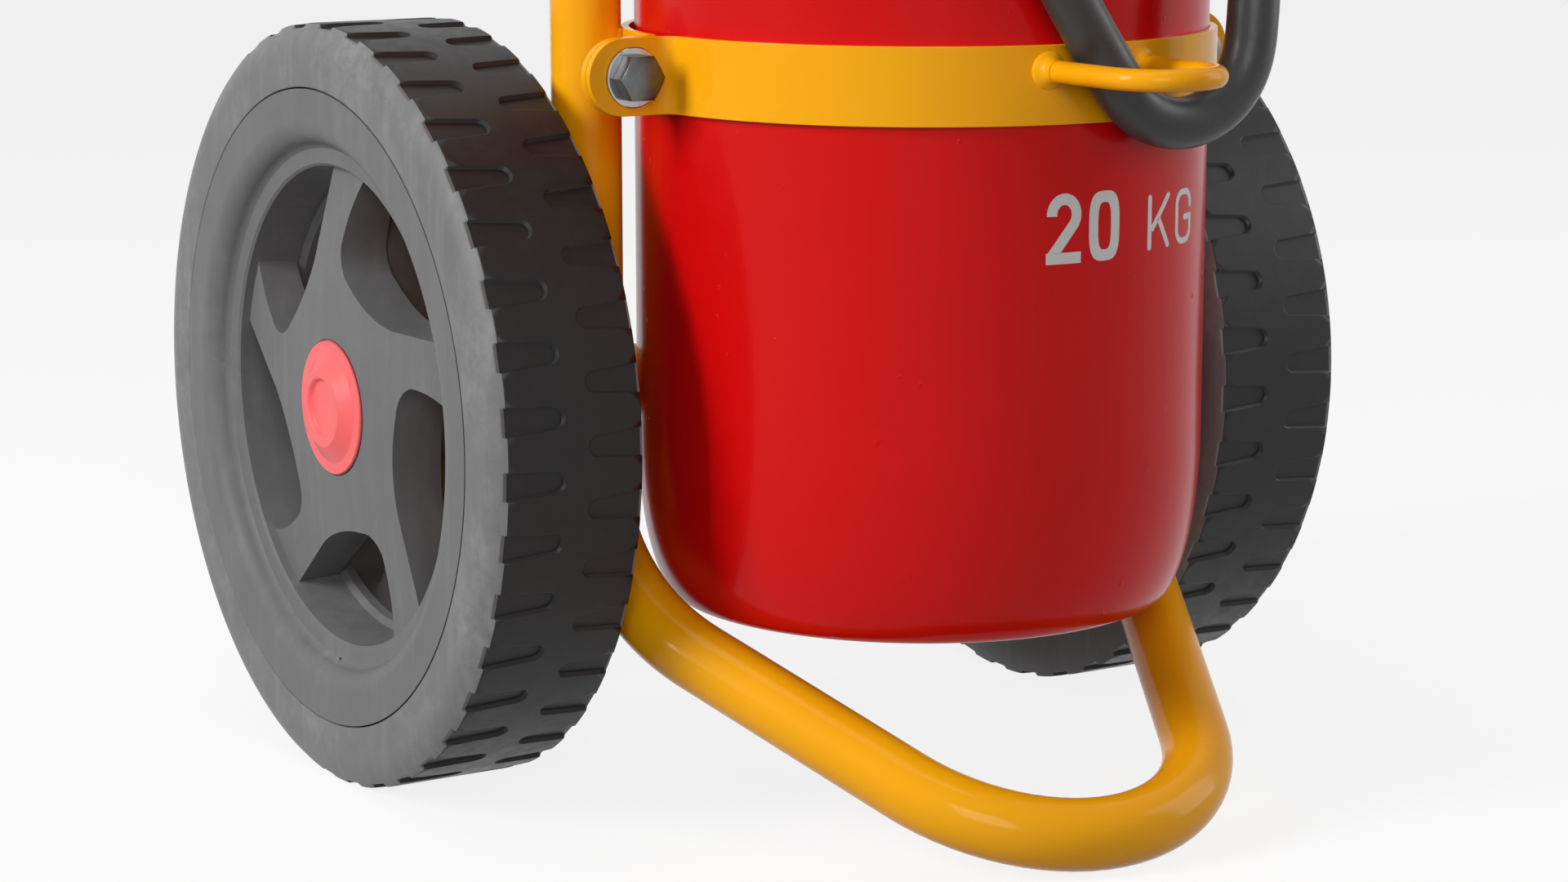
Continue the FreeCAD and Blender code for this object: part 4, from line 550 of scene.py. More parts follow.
def arcThrough(a, b, c, steps):
    # points from a over b to c on one circle
    d = 2 * (a[0] * (b[1] - c[1]) + b[0] * (c[1] - a[1]) + c[0] * (a[1] - b[1]))
    sa, sb, sc = (p[0] ** 2 + p[1] ** 2 for p in (a, b, c))
    x = (sa * (b[1] - c[1]) + sb * (c[1] - a[1]) + sc * (a[1] - b[1])) / d
    y = (sa * (c[0] - b[0]) + sb * (a[0] - c[0]) + sc * (b[0] - a[0])) / d
    radius = math.hypot(a[0] - x, a[1] - y)
    start, end = (math.atan2(p[1] - y, p[0] - x) for p in (a, c))
    turn = (end - start + math.pi) % (2 * math.pi) - math.pi
    return [(x + radius * math.cos(start + turn * i / steps), y + radius * math.sin(start + turn * i / steps))
            for i in range(steps + 1)]


def tyreProfile(row):
    # half of the cross-section as (x, radius)
    look = tyreLook
    top, edge, seat, half, bulge = look["radius"], look["edge"], look["seat"], look["ridgeHalf"], row["bulge"]
    arc = arcThrough((edge, top), (edge + row["out"], top - look["shoulderDrop"]), (bulge, top - look["bulgeDrop"]),
                     12)
    return [(0, top), (edge - 0.5, top), (edge - 0.18, top - 0.04), (edge + 0.14, top - 0.22)] + arc[1:] + [
        (bulge, seat + 6), (bulge, seat + 1.1), (bulge - 0.15, seat + 0.7), (bulge - 0.5, seat + 0.55),
        (bulge - 2.2, seat + 0.55), (bulge - 2.4, seat + 0.05), (half, seat + 0.05), (half, look["ridge"]),
        (0, look["ridge"])]


class HalfTyre:
    # the half of a tyre on one side of its middle, as vertices, normals and faces
    lastFree = 7

    def __init__(self, side):
        self.side = side
        self.row = tyreRows[side]
        self.profile = tyreProfile(self.row)
        self.along = [0.0]
        for a, b in zip(self.profile, self.profile[1:]):
            self.along.append(self.along[-1] + math.dist(a, b))
        self.slopes = []
        for index in range(len(self.profile)):
            total = Vector((0, 0))
            for a, b in ((index - 1, index), (index, index + 1)):
                if a >= 0 and b < len(self.profile):
                    p, q = self.profile[a], self.profile[b]
                    total += Vector((p[1] - q[1], q[0] - p[0]))
            self.slopes.append(total.normalized())
        self.slopes[0] = Vector((0, 1))
        self.tip = tyreLook["edge"] - self.row["length"] + tyreLook["tip"]

    def at(self, s):
        # (x, radius) and the outward direction at a length along the profile
        for index in range(len(self.along) - 1):
            if s <= self.along[index + 1] + 1e-9:
                break
        share = (s - self.along[index]) / (self.along[index + 1] - self.along[index])
        a, b = self.profile[index], self.profile[index + 1]
        slope = self.slopes[index].lerp(self.slopes[index + 1], share).normalized()
        return (a[0] + (b[0] - a[0]) * share, a[1] + (b[1] - a[1]) * share), slope

    def mouthAt(self, u):
        # where the flat floor of a recess runs out through the shoulder
        angle = u / tyreLook["radius"]
        floor = tyreLook["radius"] - tyreLook["depth"]
        low, high = tyreLook["edge"] - 1, self.along[8]
        for _ in range(40):
            middle = (low + high) / 2
            if self.at(middle)[0][1] * math.cos(angle) > floor:
                low = middle
            else:
                high = middle
        return low

    def halfWidth(self, x):
        look = tyreLook
        return look["tip"] + (look["mouth"] - look["tip"]) * (x - self.tip) / (look["edge"] - self.tip)

    def outline(self, offset):
        # one loop round the recess, from its mouth round the tip and back, as (s, u, inward direction)
        edge = tyreLook["edge"]
        mouth = self.halfWidth(self.at(self.mouthAt(5.6))[0][0]) + offset
        side = [(self.mouthAt(mouth), mouth)]
        for s in (self.along[3], edge - 4.5, edge - 9.5, edge - 14.5):
            side.append((s, self.halfWidth(self.at(s)[0][0]) + offset))
        loop = [(s, u, (0, -1)) for s, u in side]
        radius = tyreLook["tip"] + offset
        for step in range(13):
            angle = math.pi / 2 + math.pi * step / 12
            across, up = math.cos(angle), math.sin(angle)
            loop.append((self.tip + radius * across, radius * up, (-across, -up)))
        return loop + [(s, -u, (0, 1)) for s, u in reversed(side)]

    def solve(self, s, u, kind, inward):
        # place and normal of a flat point once it is wrapped round the tyre
        look = tyreLook
        angle = u / look["radius"]
        (x, radius), slope = self.at(s)
        out = Vector((0, math.sin(angle), math.cos(angle)))
        land = Vector((slope.x, 0, 0)) + out * slope.y
        wall = Vector((inward[0], 0, 0)) + Vector((0, math.cos(angle), -math.sin(angle))) * inward[1]
        floorUp = Vector((0, 0, 1))
        place = Vector((x, 0, 0)) + out * radius
        sunk = Vector((x, look["radius"] * math.sin(angle), look["radius"] - look["depth"]))
        if kind == "lip":
            return Vector((x, 0, 0)) + out * (radius - 0.1), (land + wall * 0.8).normalized()
        if kind == "floorEdge":
            return sunk, (floorUp + wall * 0.7).normalized()
        if kind == "floor":
            return sunk, floorUp
        if kind == "mouth":
            return place, (land + floorUp).normalized()
        return place, land

    def sector(self):
        # flat points and triangles of one pitch
        look = tyreLook
        half = math.pi * look["radius"] / look["count"]
        points, kinds, edges = [], [], []

        def add(s, u, kind, inward=(0, 0)):
            for index, point in enumerate(points):
                if abs(point[0] - s) < 1e-4 and abs(point[1] - u) < 1e-4:
                    return index
            points.append((s, u))
            kinds.append((kind, inward))
            return len(points) - 1

        def addLine(entries):
            line = [add(*entry) for entry in entries]
            edges.extend(zip(line, line[1:]))

        def across(reach):
            return (-reach, -3.2, -1.6, 0, 1.6, 3.2, reach)

        loops = [(kind, self.outline(offset)) for offset, kind in (
            (look["round"], "land"), (0, "lip"), (-look["lip"], "floorEdge"), (-look["lip"] - look["round"], "floor"))]
        widths = [loop[0][1] for _, loop in loops]
        ends = sorted(set([-w for w in widths] + [-3.4, -1.7, 0, 1.7, 3.4] + widths))
        addLine([(self.mouthAt(u), u, "land" if abs(u) > widths[1] - 1e-6 else "mouth") for u in ends])
        for lift, kind, reach in ((0.5, "land", widths[0]), (-0.5, "floor", widths[3] - 0.05)):
            addLine([(self.mouthAt(u) + lift, u, kind) for u in across(reach)])
        addLine([(self.along[3], u, "floor") for u in across(loops[3][1][1][1])])
        for kind, loop in loops:
            addLine([(s, u, kind, inward) for s, u, inward in loop])
        for s in [0, 2.0, 5.5, 11, 16.5, 22, 26.2] + self.along[1:self.lastFree + 1]:
            for step in range(9):
                u = -half + 2 * half * step / 8
                width = self.halfWidth(min(s, look["edge"])) + look["round"] + 0.5
                border = step in (0, 8) or s in (0, self.along[self.lastFree])
                if border or s > self.mouthAt(0) + 0.9 or abs(u) > width or (
                        s < self.tip and math.hypot(s - self.tip, u) > look["tip"] + look["round"] + 0.5):
                    add(s, u, "land")
        flat = [Vector(point) for point in points]
        verts, _, faces, origins, _, _ = delaunay_2d_cdt(flat, edges, [], 0, 1e-7)
        known = [kinds[origin[0]] if origin else ("land", (0, 0)) for origin in origins]
        return [(v.x, v.y, *kind) for v, kind in zip(verts, known)], faces

    def build(self, index, verts, normals, faces, marks):
        look = tyreLook
        flat, triangles = self.sector()
        solved = [self.solve(*entry) for entry in flat]
        pitch = 2 * math.pi / look["count"]
        steps = look["count"] * 8
        sides = [int(sum(flat[corner][0] for corner in triangle) / 3 > self.along[3]) for triangle in triangles]

        def add(place, normal):
            place = Vector((place.x * self.side, place.y, place.z))
            key = tuple(round(value, 3) for value in place)
            if key not in index:
                index[key] = len(verts)
                verts.append(place)
                normals.append(Vector((normal.x * self.side, normal.y, normal.z)))
            return index[key]

        def turned(vector, angle):
            c, s = math.cos(angle), math.sin(angle)
            return Vector((vector.x, vector.y * c + vector.z * s, vector.z * c - vector.y * s))

        def addFace(loop, mark):
            loop = list(dict.fromkeys(loop))
            if len(loop) > 2:
                faces.append(loop if self.side > 0 else loop[::-1])
                marks.append(mark)

        for k in range(look["count"]):
            angle = math.radians(self.row["phase"]) + pitch * k
            ids = [add(turned(place, angle), turned(normal, angle)) for place, normal in solved]
            for triangle, mark in zip(triangles, sides):
                addFace([ids[corner] for corner in triangle], mark)
        rings = []
        start = math.radians(self.row["phase"]) - pitch / 2
        for point, slope in list(zip(self.profile, self.slopes))[self.lastFree:]:
            ring = []
            for step in range(steps):
                angle = start + pitch * step / 8
                out = Vector((0, math.sin(angle), math.cos(angle)))
                ring.append(add(Vector((point[0], 0, 0)) + out * point[1], Vector((slope.x, 0, 0)) + out * slope.y))
            rings.append(ring)
        for low, high in zip(rings, rings[1:]):
            for step in range(steps):
                after = (step + 1) % steps
                addFace([low[step], high[step], high[after], low[after]], 1)


def makeTyre(name, side, centre):
    index, verts, normals, faces, marks = {}, [], [], [], []
    for half in (1, -1):
        HalfTyre(half).build(index, verts, normals, faces, marks)
    # the left wheel is the right one turned half round
    places = [Vector((v.x * side, v.y * side, v.z)) + Vector(centre) for v in verts]
    obj = meshObject(name, [place / 1000 for place in places], faces)
    obj.data.normals_split_custom_set_from_vertices([(n.x * side, n.y * side, n.z) for n in normals])
    obj.data.materials.append(finish["treadRubber"])
    obj.data.materials.append(finish["tyreFace"])
    obj.data.polygons.foreach_set("material_index", marks)
    return obj


# hub cap: flange, cone, raised ring round a shallow dish
capProfile = [(0, 29.2), (9.5, 29.2), (10.8, 29.3), (11.8, 30.7), (12.4, 31.1), (15.1, 31.1), (16.0, 30.6),
              (21.7, 27.3), (23.0, 27.15), (26.0, 27.15), (26.5, 26.7), (26.5, 26.0), (26.0, 25.4), (18, 25.4),
              (18, 19), (15.5, 19), (15.5, 25.0), (0, 25.0)]
for side, label in ((1, "right"), (-1, "left")):
    centre = (side * tyreLook["halfTrack"], shared["axleY"], shared["axleZ"])
    tyre = fit(makeTyre("tyre_" + label + "_moulded", side, centre), None, "tyre_" + label)
    fit(softCopy("rim_" + label + "_moulded", "rim_" + label, 0.0005), "rimPlastic", "rim_" + label)
    cap = softEdges(lathe("hubCap_" + label, capProfile, 96, centre, (side, 0, 0)), 0.0004, 20)
    fit(cap, "capRed", "hub_cap_" + label)
print("wheels moulded, tyre faces:", len(tyre.data.polygons))

# Fasteners: one shape each, copied onto points
copyTree = shapeTree("placedCopies", {"Piece": "Object"}, {
    "info": ("GeometryNodeObjectInfo", {}, {}),
    "turn": ("GeometryNodeInputNamedAttribute", {"Name": "turn"}, {"data_type": "FLOAT_VECTOR"}),
    "copies": ("GeometryNodeInstanceOnPoints", {}, {})}, [
    "given.Piece > info.Object", "given.Geometry > copies.Points", "info.Geometry > copies.Instance",
    "turn.Attribute > copies.Rotation", "copies.Instances > smooth.Geometry"])
boltLook = {"flats": 16.0, "head": 7.0, "washerThick": 2.0, "radius": 5.0, "nut": 8.0, "tail": 5.5, "ear": 3.2}
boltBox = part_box("strap_bolts")
boltX = ((boltBox[1][0] + boltBox[0][0]) / 2 * 1000 + (boltBox[1][0] - boltBox[0][0]) * 500
         - boltLook["flats"] / math.sqrt(3))


def placeCopies(name, piece, y, direction, finishName, source):
    # one copy at each bolt, its +Z turned to the direction
    places = [mm(side * boltX, y, height) for height in shared["straps"] for side in (1, -1)]
    obj = meshObject(name, places)
    layer = obj.data.attributes.new("turn", "FLOAT_VECTOR", "POINT")
    for entry in layer.data:
        entry.vector = Vector(direction).to_track_quat("Z", "Y").to_euler()
    shapeBy(obj, copyTree, {"Piece": piece, "Finish": finish[finishName]})
    bpy.data.objects.remove(piece)
    return fit(sharpenByAngle(obj, 30), None, source)


def hexPiece(name, flats, height, bore=0.0, steps=48):
    # hexagon along +Z with a chamfered top; a bored one is chamfered below too
    crown = flats / 2 - 0.9

    def corner(a):
        return flats / 2 / math.cos(math.radians((math.degrees(a) % 60) - 30))

    def drop(a):
        return max(0.15, (corner(a) - crown) * 0.5)

    def still(value):
        return lambda a: value

    rings = [(corner, lambda a: height - drop(a)), (still(crown), still(height))]
    if bore:
        rings = [(still(crown), still(0)), (corner, drop)] + rings + [
            (still(bore + 0.5), still(height)), (still(bore), still(height - 0.5)), (still(bore), still(0))]
    else:
        rings = [(lambda a: corner(a) - 0.15, still(0)), (corner, still(0.15))] + rings
    count = len(rings)
    angles = [2 * math.pi * k / steps for k in range(steps)]
    verts = [mm(r(a) * math.cos(a), r(a) * math.sin(a), z(a)) for r, z in rings for a in angles]
    faces = []
    for low in range(count if bore else count - 1):
        high = (low + 1) % count
        for k in range(steps):
            after = (k + 1) % steps
            faces.append([low * steps + k, low * steps + after, high * steps + after, high * steps + k])
    if not bore:
        faces.append(list(range(steps))[::-1])
        faces.append([(count - 1) * steps + k for k in range(steps)])
    return faceOutwards(meshObject(name, verts, faces))


def threadProfile(radius, length, pitch=1.25):
    # a rod from 0 with a threaded far end
    points = [(0, 0), (radius, 0)]
    for turn in range(int(8 / pitch)):
        z = length - 9 + turn * pitch
        points += [(radius, z), (radius, z + 0.2), (radius - 0.55, z + pitch * 0.55), (radius, z + pitch - 0.05)]
    return points + [(radius - 0.8, length), (0, length)]


look = boltLook
frontFace = shared["cylinderY"] - look["ear"]
headFace = frontFace - look["washerThick"]
shankLength = look["washerThick"] + 2 * look["ear"] + look["nut"] + look["tail"]
ringProfile = [(5.5, 0), (10.7, 0), (11.1, 0.35), (11.1, 1.65), (10.7, 2), (5.9, 2), (5.5, 1.7), (5.5, 0)]
placeCopies("boltHeads", hexPiece("headShape", look["flats"], look["head"]), headFace, (0, -1, 0), "boltSteel",
            "strap_bolts")
placeCopies("boltShanks", lathe("shankShape", threadProfile(look["radius"], shankLength), 24), headFace,
            (0, 1, 0), "boltSteel", "strap_bolts")
placeCopies("boltNuts", hexPiece("nutShape", look["flats"], look["nut"], look["radius"]),
            shared["cylinderY"] + look["ear"], (0, 1, 0), "brightSteel", "strap_nuts")
placeCopies("boltWashers", lathe("washerShape", ringProfile, 64), frontFace, (0, -1, 0), "mirrorSteel",
            "strap_washers")
print("fasteners placed")

# Straps and other pressed or machined pieces, with their edges softened
softPieces = {
    "strap_lower_front": 0.35, "strap_lower_rear": 0.35, "strap_upper_front": 0.35, "strap_upper_rear": 0.35,
    "axle_bracket_left": 0.5, "axle_bracket_right": 0.5, "nozzle_cradle": 0.5, "valve_handle": 0.4,
    "squeeze_lever": 0.4, "trigger_lever": 0.35, "valve_body": 0.4, "gauge_case": 0.3, "nozzle_body": 0.4,
    "nozzle_barrel": 0.3, "hose_coupling": 0.3, "neck_collar": 0.4,
}
for nodeName, width in softPieces.items():
    fit(softCopy(nodeName + "_soft", nodeName, width / 1000), slotFinish[slotOf[nodeName]], nodeName)
print("edges softened:", len(softPieces))

# Hose guide: a bent rod on two flared feet
guideLook = {"half": 20.3, "rod": 4.0, "height": 291.5, "reach": 34.65, "strap": 112.65, "flare": 6.6,
             "flareLength": 5.2}
look = guideLook
half, rod, flare, height = look["half"], look["rod"], look["flare"], look["height"]
footY = shared["cylinderY"] - math.sqrt(look["strap"] ** 2 - half ** 2)
tipY = shared["cylinderY"] - look["strap"] - look["reach"] - half
guidePoints = [(half, footY + 2, height), (half, tipY, height), (-half, tipY, height), (-half, footY + 2, height)]
guideRod = bentTube("guideRod", guidePoints, [0, half - 0.01, half - 0.01, 0], rod, 20, 32)
fit(guideRod, "frameYellow", "hose_guide")
footProfile = [(0, -2), (flare + 0.3, -2), (flare + 0.3, 0.2)]
footProfile += [(rod + (flare - rod) * (1 - step / 8) ** 2.4, 0.5 + look["flareLength"] * step / 8)
                for step in range(9)] + [(0, 5.7)]
for side, label in ((1, "right"), (-1, "left")):
    foot = lathe("guideFoot_" + label, footProfile, 40, (side * half, footY, height), (side * 0.09, -1, 0), 60)
    fit(foot, "frameYellow", "hose_guide")
print("hose guide bent")

# Weld seams: overlapping beads along a line
weldTree = shapeTree("weldSeam", {"Bead Radius": "Float", "Spacing": "Float"}, {
    "toCurve": ("GeometryNodeMeshToCurve", {}, {}),
    "even": ("GeometryNodeResampleCurve", {}, {"mode": "LENGTH"}),
    "bead": ("GeometryNodeMeshUVSphere", {"Segments": 10, "Rings": 6}, {}),
    "tangent": ("GeometryNodeInputTangent", {}, {}),
    "align": ("FunctionNodeAlignRotationToVector", {}, {"axis": "X"}),
    "jitter": ("FunctionNodeRandomValue", {0: (0.85, 0.9, 0.9), 1: (1.05, 1.1, 1.1)}, {"data_type": "FLOAT_VECTOR"}),
    "copies": ("GeometryNodeInstanceOnPoints", {}, {})}, [
    "given.Geometry > toCurve.Mesh", "toCurve.Curve > even.Curve", "given.Spacing > even.Length",
    "given.Bead Radius > bead.Radius", "tangent.Tangent > align.Vector", "even.Curve > copies.Points",
    "bead.Mesh > copies.Instance", "align.Rotation > copies.Rotation", "jitter.Value > copies.Scale",
    "copies.Instances > smooth.Geometry"])


def weldSeam(name, lines, radius, finishName, slot):
    verts, edges = [], []
    for line in lines:
        edges += [(len(verts) + i, len(verts) + i + 1) for i in range(len(line) - 1)]
        verts += [mm(*point) for point in line]
    obj = shapeBy(meshObject(name, verts, edges=edges), weldTree, {
        "Bead Radius": radius / 1000, "Spacing": radius * 0.8 / 1000, "Finish": finish[finishName]})
    return fit(obj, None, slot=slot)


weldLook = {"rearY": -57.55, "rearRadius": 116.55, "strapHalf": 12.5, "face": 3.0, "across": 5.2, "low": 132,
            "high": 174, "frameBead": 1.7, "neckBead": 1.9, "neckRadius": 28.4, "neckZ": 752.4, "seamZ": 686}


def frameWelds():
    look = weldLook
    tube = shared["tube"]
    lean = math.atan2(shared["uprightY"] - look["rearY"], shared["halfWidth"])
    reach = look["rearRadius"] + 0.6
    lines = []
    for side in (1, -1):
        for face in (look["face"], -look["face"]):
            x = side * shared["halfWidth"] + face
            ring = arcPoints(shared["axleY"], shared["axleZ"], tube + 0.3, tube + 0.3, 0, 360, 72)
            lines.append([(x, y, z) for y, z in ring])
            y = shared["uprightY"] + math.sqrt(tube ** 2 - face ** 2) + 0.3
            lines.append([(x, y, look["low"]), (x, y, look["high"])])
        for height in shared["straps"]:
            for across in (look["across"], -look["across"]):
                x = side * (reach * math.cos(lean) - across * math.sin(lean))
                y = look["rearY"] + (reach * math.sin(lean) + across * math.cos(lean))
                lines.append([(x, y, height - look["strapHalf"]), (x, y, height + look["strapHalf"])])
    return lines


look = weldLook
weldSeam("frameWelds", frameWelds(), look["frameBead"], "frameYellow", "frame_yellow")
neckArc = arcPoints(0, shared["cylinderY"], look["neckRadius"], look["neckRadius"], 0, 360, 96)
weldSeam("neckWeld", [[(x, y, look["neckZ"]) for x, y in neckArc]], look["neckBead"], "cylinderRed", "cylinder_red")
# the shell's round seam under the shoulder
seamHalf = [(109.3, -3.4), (109.75, -2.6), (110.1, -1.2)]
seamProfile = seamHalf + [(110.2, 0)] + [(radius, -along) for radius, along in reversed(seamHalf)]
seamProfile += [(109.0, 3.4), (109.0, -3.4), (109.3, -3.4)]
shellSeam = lathe("shellSeam", seamProfile, 160, (0, shared["cylinderY"], look["seamZ"]), hard=60)
fit(shellSeam, "cylinderRed", slot="cylinder_red")
print("welds laid")

# Springs wound from wire; their values are (wire diameter, turns)
coilTree = shapeTree("coil", {
    "Coil Radius": "Float", "Wire Radius": "Float", "Turns": "Float", "Height": "Float"}, {
    "spiral": ("GeometryNodeCurveSpiral", {"Resolution": 32}, {}),
    "ring": ("GeometryNodeCurvePrimitiveCircle", {"Resolution": 12}, {}),
    "sweep": ("GeometryNodeCurveToMesh", {"Fill Caps": True}, {})}, [
    "given.Turns > spiral.Rotations", "given.Coil Radius > spiral.Start Radius",
    "given.Coil Radius > spiral.End Radius", "given.Height > spiral.Height", "given.Wire Radius > ring.Radius",
    "spiral.Curve > sweep.Curve", "ring.Curve > sweep.Profile Curve", "sweep.Mesh > smooth.Geometry"])


springLook = {"valve_spring": (1.9, 3.5), "trigger_spring": (0.85, 3.6)}


def makeCoil(node, axis):
    # a spring filling the sleeve that stands for it in the CAD
    wire, turns = springLook[node]
    low, high = (Vector(corner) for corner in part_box(node))
    size = high - low
    along = size["XYZ".index(axis)]
    outer = min(size) / 2 if along > min(size) else sorted(size)[1] / 2
    obj = shapeBy(meshObject(node + "_wound", []), coilTree, {
        "Coil Radius": outer - wire / 2000, "Wire Radius": wire / 2000, "Turns": float(turns),
        "Height": along - wire / 1000, "Finish": finish["springSteel"]})
    direction = Vector({"Z": (0, 0, 1), "Y": (0, 1, 0)}[axis])
    start = (low + high) / 2 - direction * (along / 2 - wire / 2000)
    obj.data.transform(Matrix.Translation(start) @ direction.to_track_quat("Z", "X").to_matrix().to_4x4())
    return fit(faceOutwards(obj), None, node), low, high


valveCoil, low, high = makeCoil("valve_spring", "Z")
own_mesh(valveCoil)
triggerCoil, low, high = makeCoil("trigger_spring", "Y")
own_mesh(triggerCoil)
print("springs wound")

# Push bar grip with moulded rings
gripLook = {"half": 60.0, "inner": 13.45, "outer": 16.85, "flange": 19.35, "rings": 17, "pitch": 5.6,
            "y": 53.05, "z": 985.0}
ringShape = ((-2.1, -0.9), (-1.6, 0.5), (-0.9, 0.95), (0, 1.05), (0.9, 0.95), (1.6, 0.5), (2.1, -0.9))


def gripProfile():
    look = gripLook
    half, flange, outer = look["half"], look["flange"], look["outer"]
    end = [(look["inner"], -half), (flange - 1.6, -half), (flange - 0.5, -half + 0.5), (flange, -half + 1.6),
           (flange, -half + 3.2), (outer + 0.9, -half + 5), (outer, -half + 6.5)]
    points = []
    for ring in range(look["rings"]):
        middle = (ring - (look["rings"] - 1) / 2) * look["pitch"]
        points += [(outer + lift, middle + offset) for offset, lift in ringShape]
    return end + points + [(radius, -along) for radius, along in reversed(end)] + [(look["inner"], -half)]


grip = lathe("ribbedGrip", gripProfile(), 72, (0, gripLook["y"], gripLook["z"]), (1, 0, 0), 50)
fit(grip, "gripRubber", "handle_grip")

# Crimped ferrules at the hose's ends
ferruleLook = {"radius": 12.5, "length": 32.0, "crimps": 4, "pitch": 5.4}


def ferruleProfile():
    radius, length = ferruleLook["radius"], ferruleLook["length"]
    points = [(0, 0), (radius - 1.4, 0), (radius - 0.4, 0.4), (radius, 1.4), (radius, 4.6)]
    for crimp in range(ferruleLook["crimps"]):
        start = 6.0 + crimp * ferruleLook["pitch"]
        points += [(radius - 0.2, start - 0.6), (radius - 1.3, start), (radius - 1.5, start + 1.8),
                   (radius - 1.3, start + 3.6), (radius - 0.2, start + 4.2), (radius, start + 4.5)]
    return points + [(radius, length - 1.4), (radius - 0.4, length - 0.4), (radius - 1.4, length), (0, length)]


for label, start, direction in (("valve", hoseRoute[0], Vector(hoseRoute[0]) - Vector(hoseRoute[1])),
                                ("nozzle", hoseRoute[-1], (0, 0, 1))):
    ferrule = lathe("ferrule_" + label, ferruleProfile(), 64, start, direction, 50)
    fit(ferrule, "brightSteel", "hose_ferrule_" + label)
print("grip and ferrules turned")

# Rubber tip of the gun, ribbed where it is held
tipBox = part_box("nozzle_tip")


def tipProfile():
    base = tipBox[0][2] * 1000
    wide = (tipBox[1][0] - tipBox[0][0]) * 500
    low = 13.0
    points = [(10.0, base), (low - 1, base), (low, base + 1)]
    for rib in range(5):
        z = base + 2.2 + rib * 2.4
        points += [(low, z), (low - 0.8, z + 0.5), (low - 0.8, z + 1.2), (low, z + 1.7)]
    points += [(low, base + 14), (wide, base + 34), (wide, base + 44.6), (wide - 1.2, base + 46)]
    return points + [(9.4, base + 46), (9.0, base + 45.4), (6.5, base + 14), (10.0, base + 14), (10.0, base)]


gunX, gunY, _ = hoseRoute[-1]
fit(lathe("rubberTip", tipProfile(), 64, (gunX, gunY, 0), hard=40), "gripRubber", "nozzle_tip")

# Gauge dial: coloured zones, ticks and numbers on the plate
dialLook = {"z": 800.0, "reach": 38.03, "azimuth": 25.0, "inner": 12.6, "outer": 15.4, "print": 0.06,
            "numbers": 9.9, "text": 3.0}


def dialPlace(right, up, lift=0.0):
    # a point of the dial seen from outside, in millimetres
    turn = math.radians(dialLook["azimuth"])
    outwards = Vector((math.sin(turn), -math.cos(turn), 0))
    across = Vector((math.cos(turn), math.sin(turn), 0))
    centre = Vector((0, shared["cylinderY"], dialLook["z"]))
    return centre + outwards * (dialLook["reach"] + lift) + across * right + Vector((0, 0, up))


def dialSlab(name, flatFaces, finishName):
    # flat printed shapes with a hair's thickness
    verts, faces = [], []
    for loop in flatFaces:
        base = len(verts)
        count = len(loop)
        verts += [dialPlace(x, y, lift) / 1000 for lift in (dialLook["print"], 0.0) for x, y in loop]
        faces.append([base + k for k in range(count)])
        faces.append([base + count + k for k in reversed(range(count))])
        faces += [[base + k, base + count + k, base + count + (k + 1) % count, base + (k + 1) % count]
                  for k in range(count)]
    return fit(faceOutwards(meshObject(name, verts, faces, smooth=False)), finishName, slot="dial")


def ringSector(start, end, inner=dialLook["inner"], outer=dialLook["outer"], steps=16):
    # angles in degrees to the left of straight up
    arcs = [arcPoints(0, 0, radius, radius, 90 + start, 90 + end, steps) for radius in (outer, inner)]
    return arcs[0] + arcs[1][::-1]


dialSlab("dialLowZone", [ringSector(60, 22)], "dialRed")
dialSlab("dialGoodZone", [ringSector(21, -32)], "dialGreen")
dialSlab("dialHighZone", [ringSector(-33, -100)], "dialRed")
dialSlab("dialTicks", [ringSector(61 - 16 * k, 59 - 16 * k, 16.0, 17.6, 1) for k in range(11)], "needleBlack")


def dialText(name, body, right, up):
    curve = bpy.data.curves.new(name, "FONT")
    curve.body = body
    curve.size = dialLook["text"]
    curve.align_x = "CENTER"
    curve.align_y = "CENTER"
    curve.resolution_u = 3
    letters = addToScene(bpy.data.objects.new(name, curve))
    bpy.context.view_layer.update()
    mesh = bpy.data.meshes.new_from_object(letters.evaluated_get(bpy.context.evaluated_depsgraph_get()))
    bpy.data.objects.remove(letters)
    for vertex in mesh.vertices:
        vertex.co = dialPlace(vertex.co.x + right, vertex.co.y + up, dialLook["print"]) / 1000
    obj = thicken(addToScene(bpy.data.objects.new(name, mesh)), 0.00006)
    return fit(obj, "needleBlack", slot="dial")


for value, angle in (("0", 60), ("10", 21), ("20", -32), ("28", -100)):
    a = math.radians(angle)
    dialText("dialNumber_" + value, value, -dialLook["numbers"] * math.sin(a), dialLook["numbers"] * math.cos(a))
dialText("dialUnit", "bar", 0, -9)
print("dial printed")

# Charge marking on the cylinder, drawn as strokes wrapped round it
markLook = {"lift": 0.05, "thick": 0.0002, "bold": (14.3, 25.5, 4.1), "light": (14.4, 20.5, 2.25),
            "numberAt": (-9.8, 221.5), "unitAt": (15.2, 223.0), "zeroStart": 17.8, "gStart": 19.2}


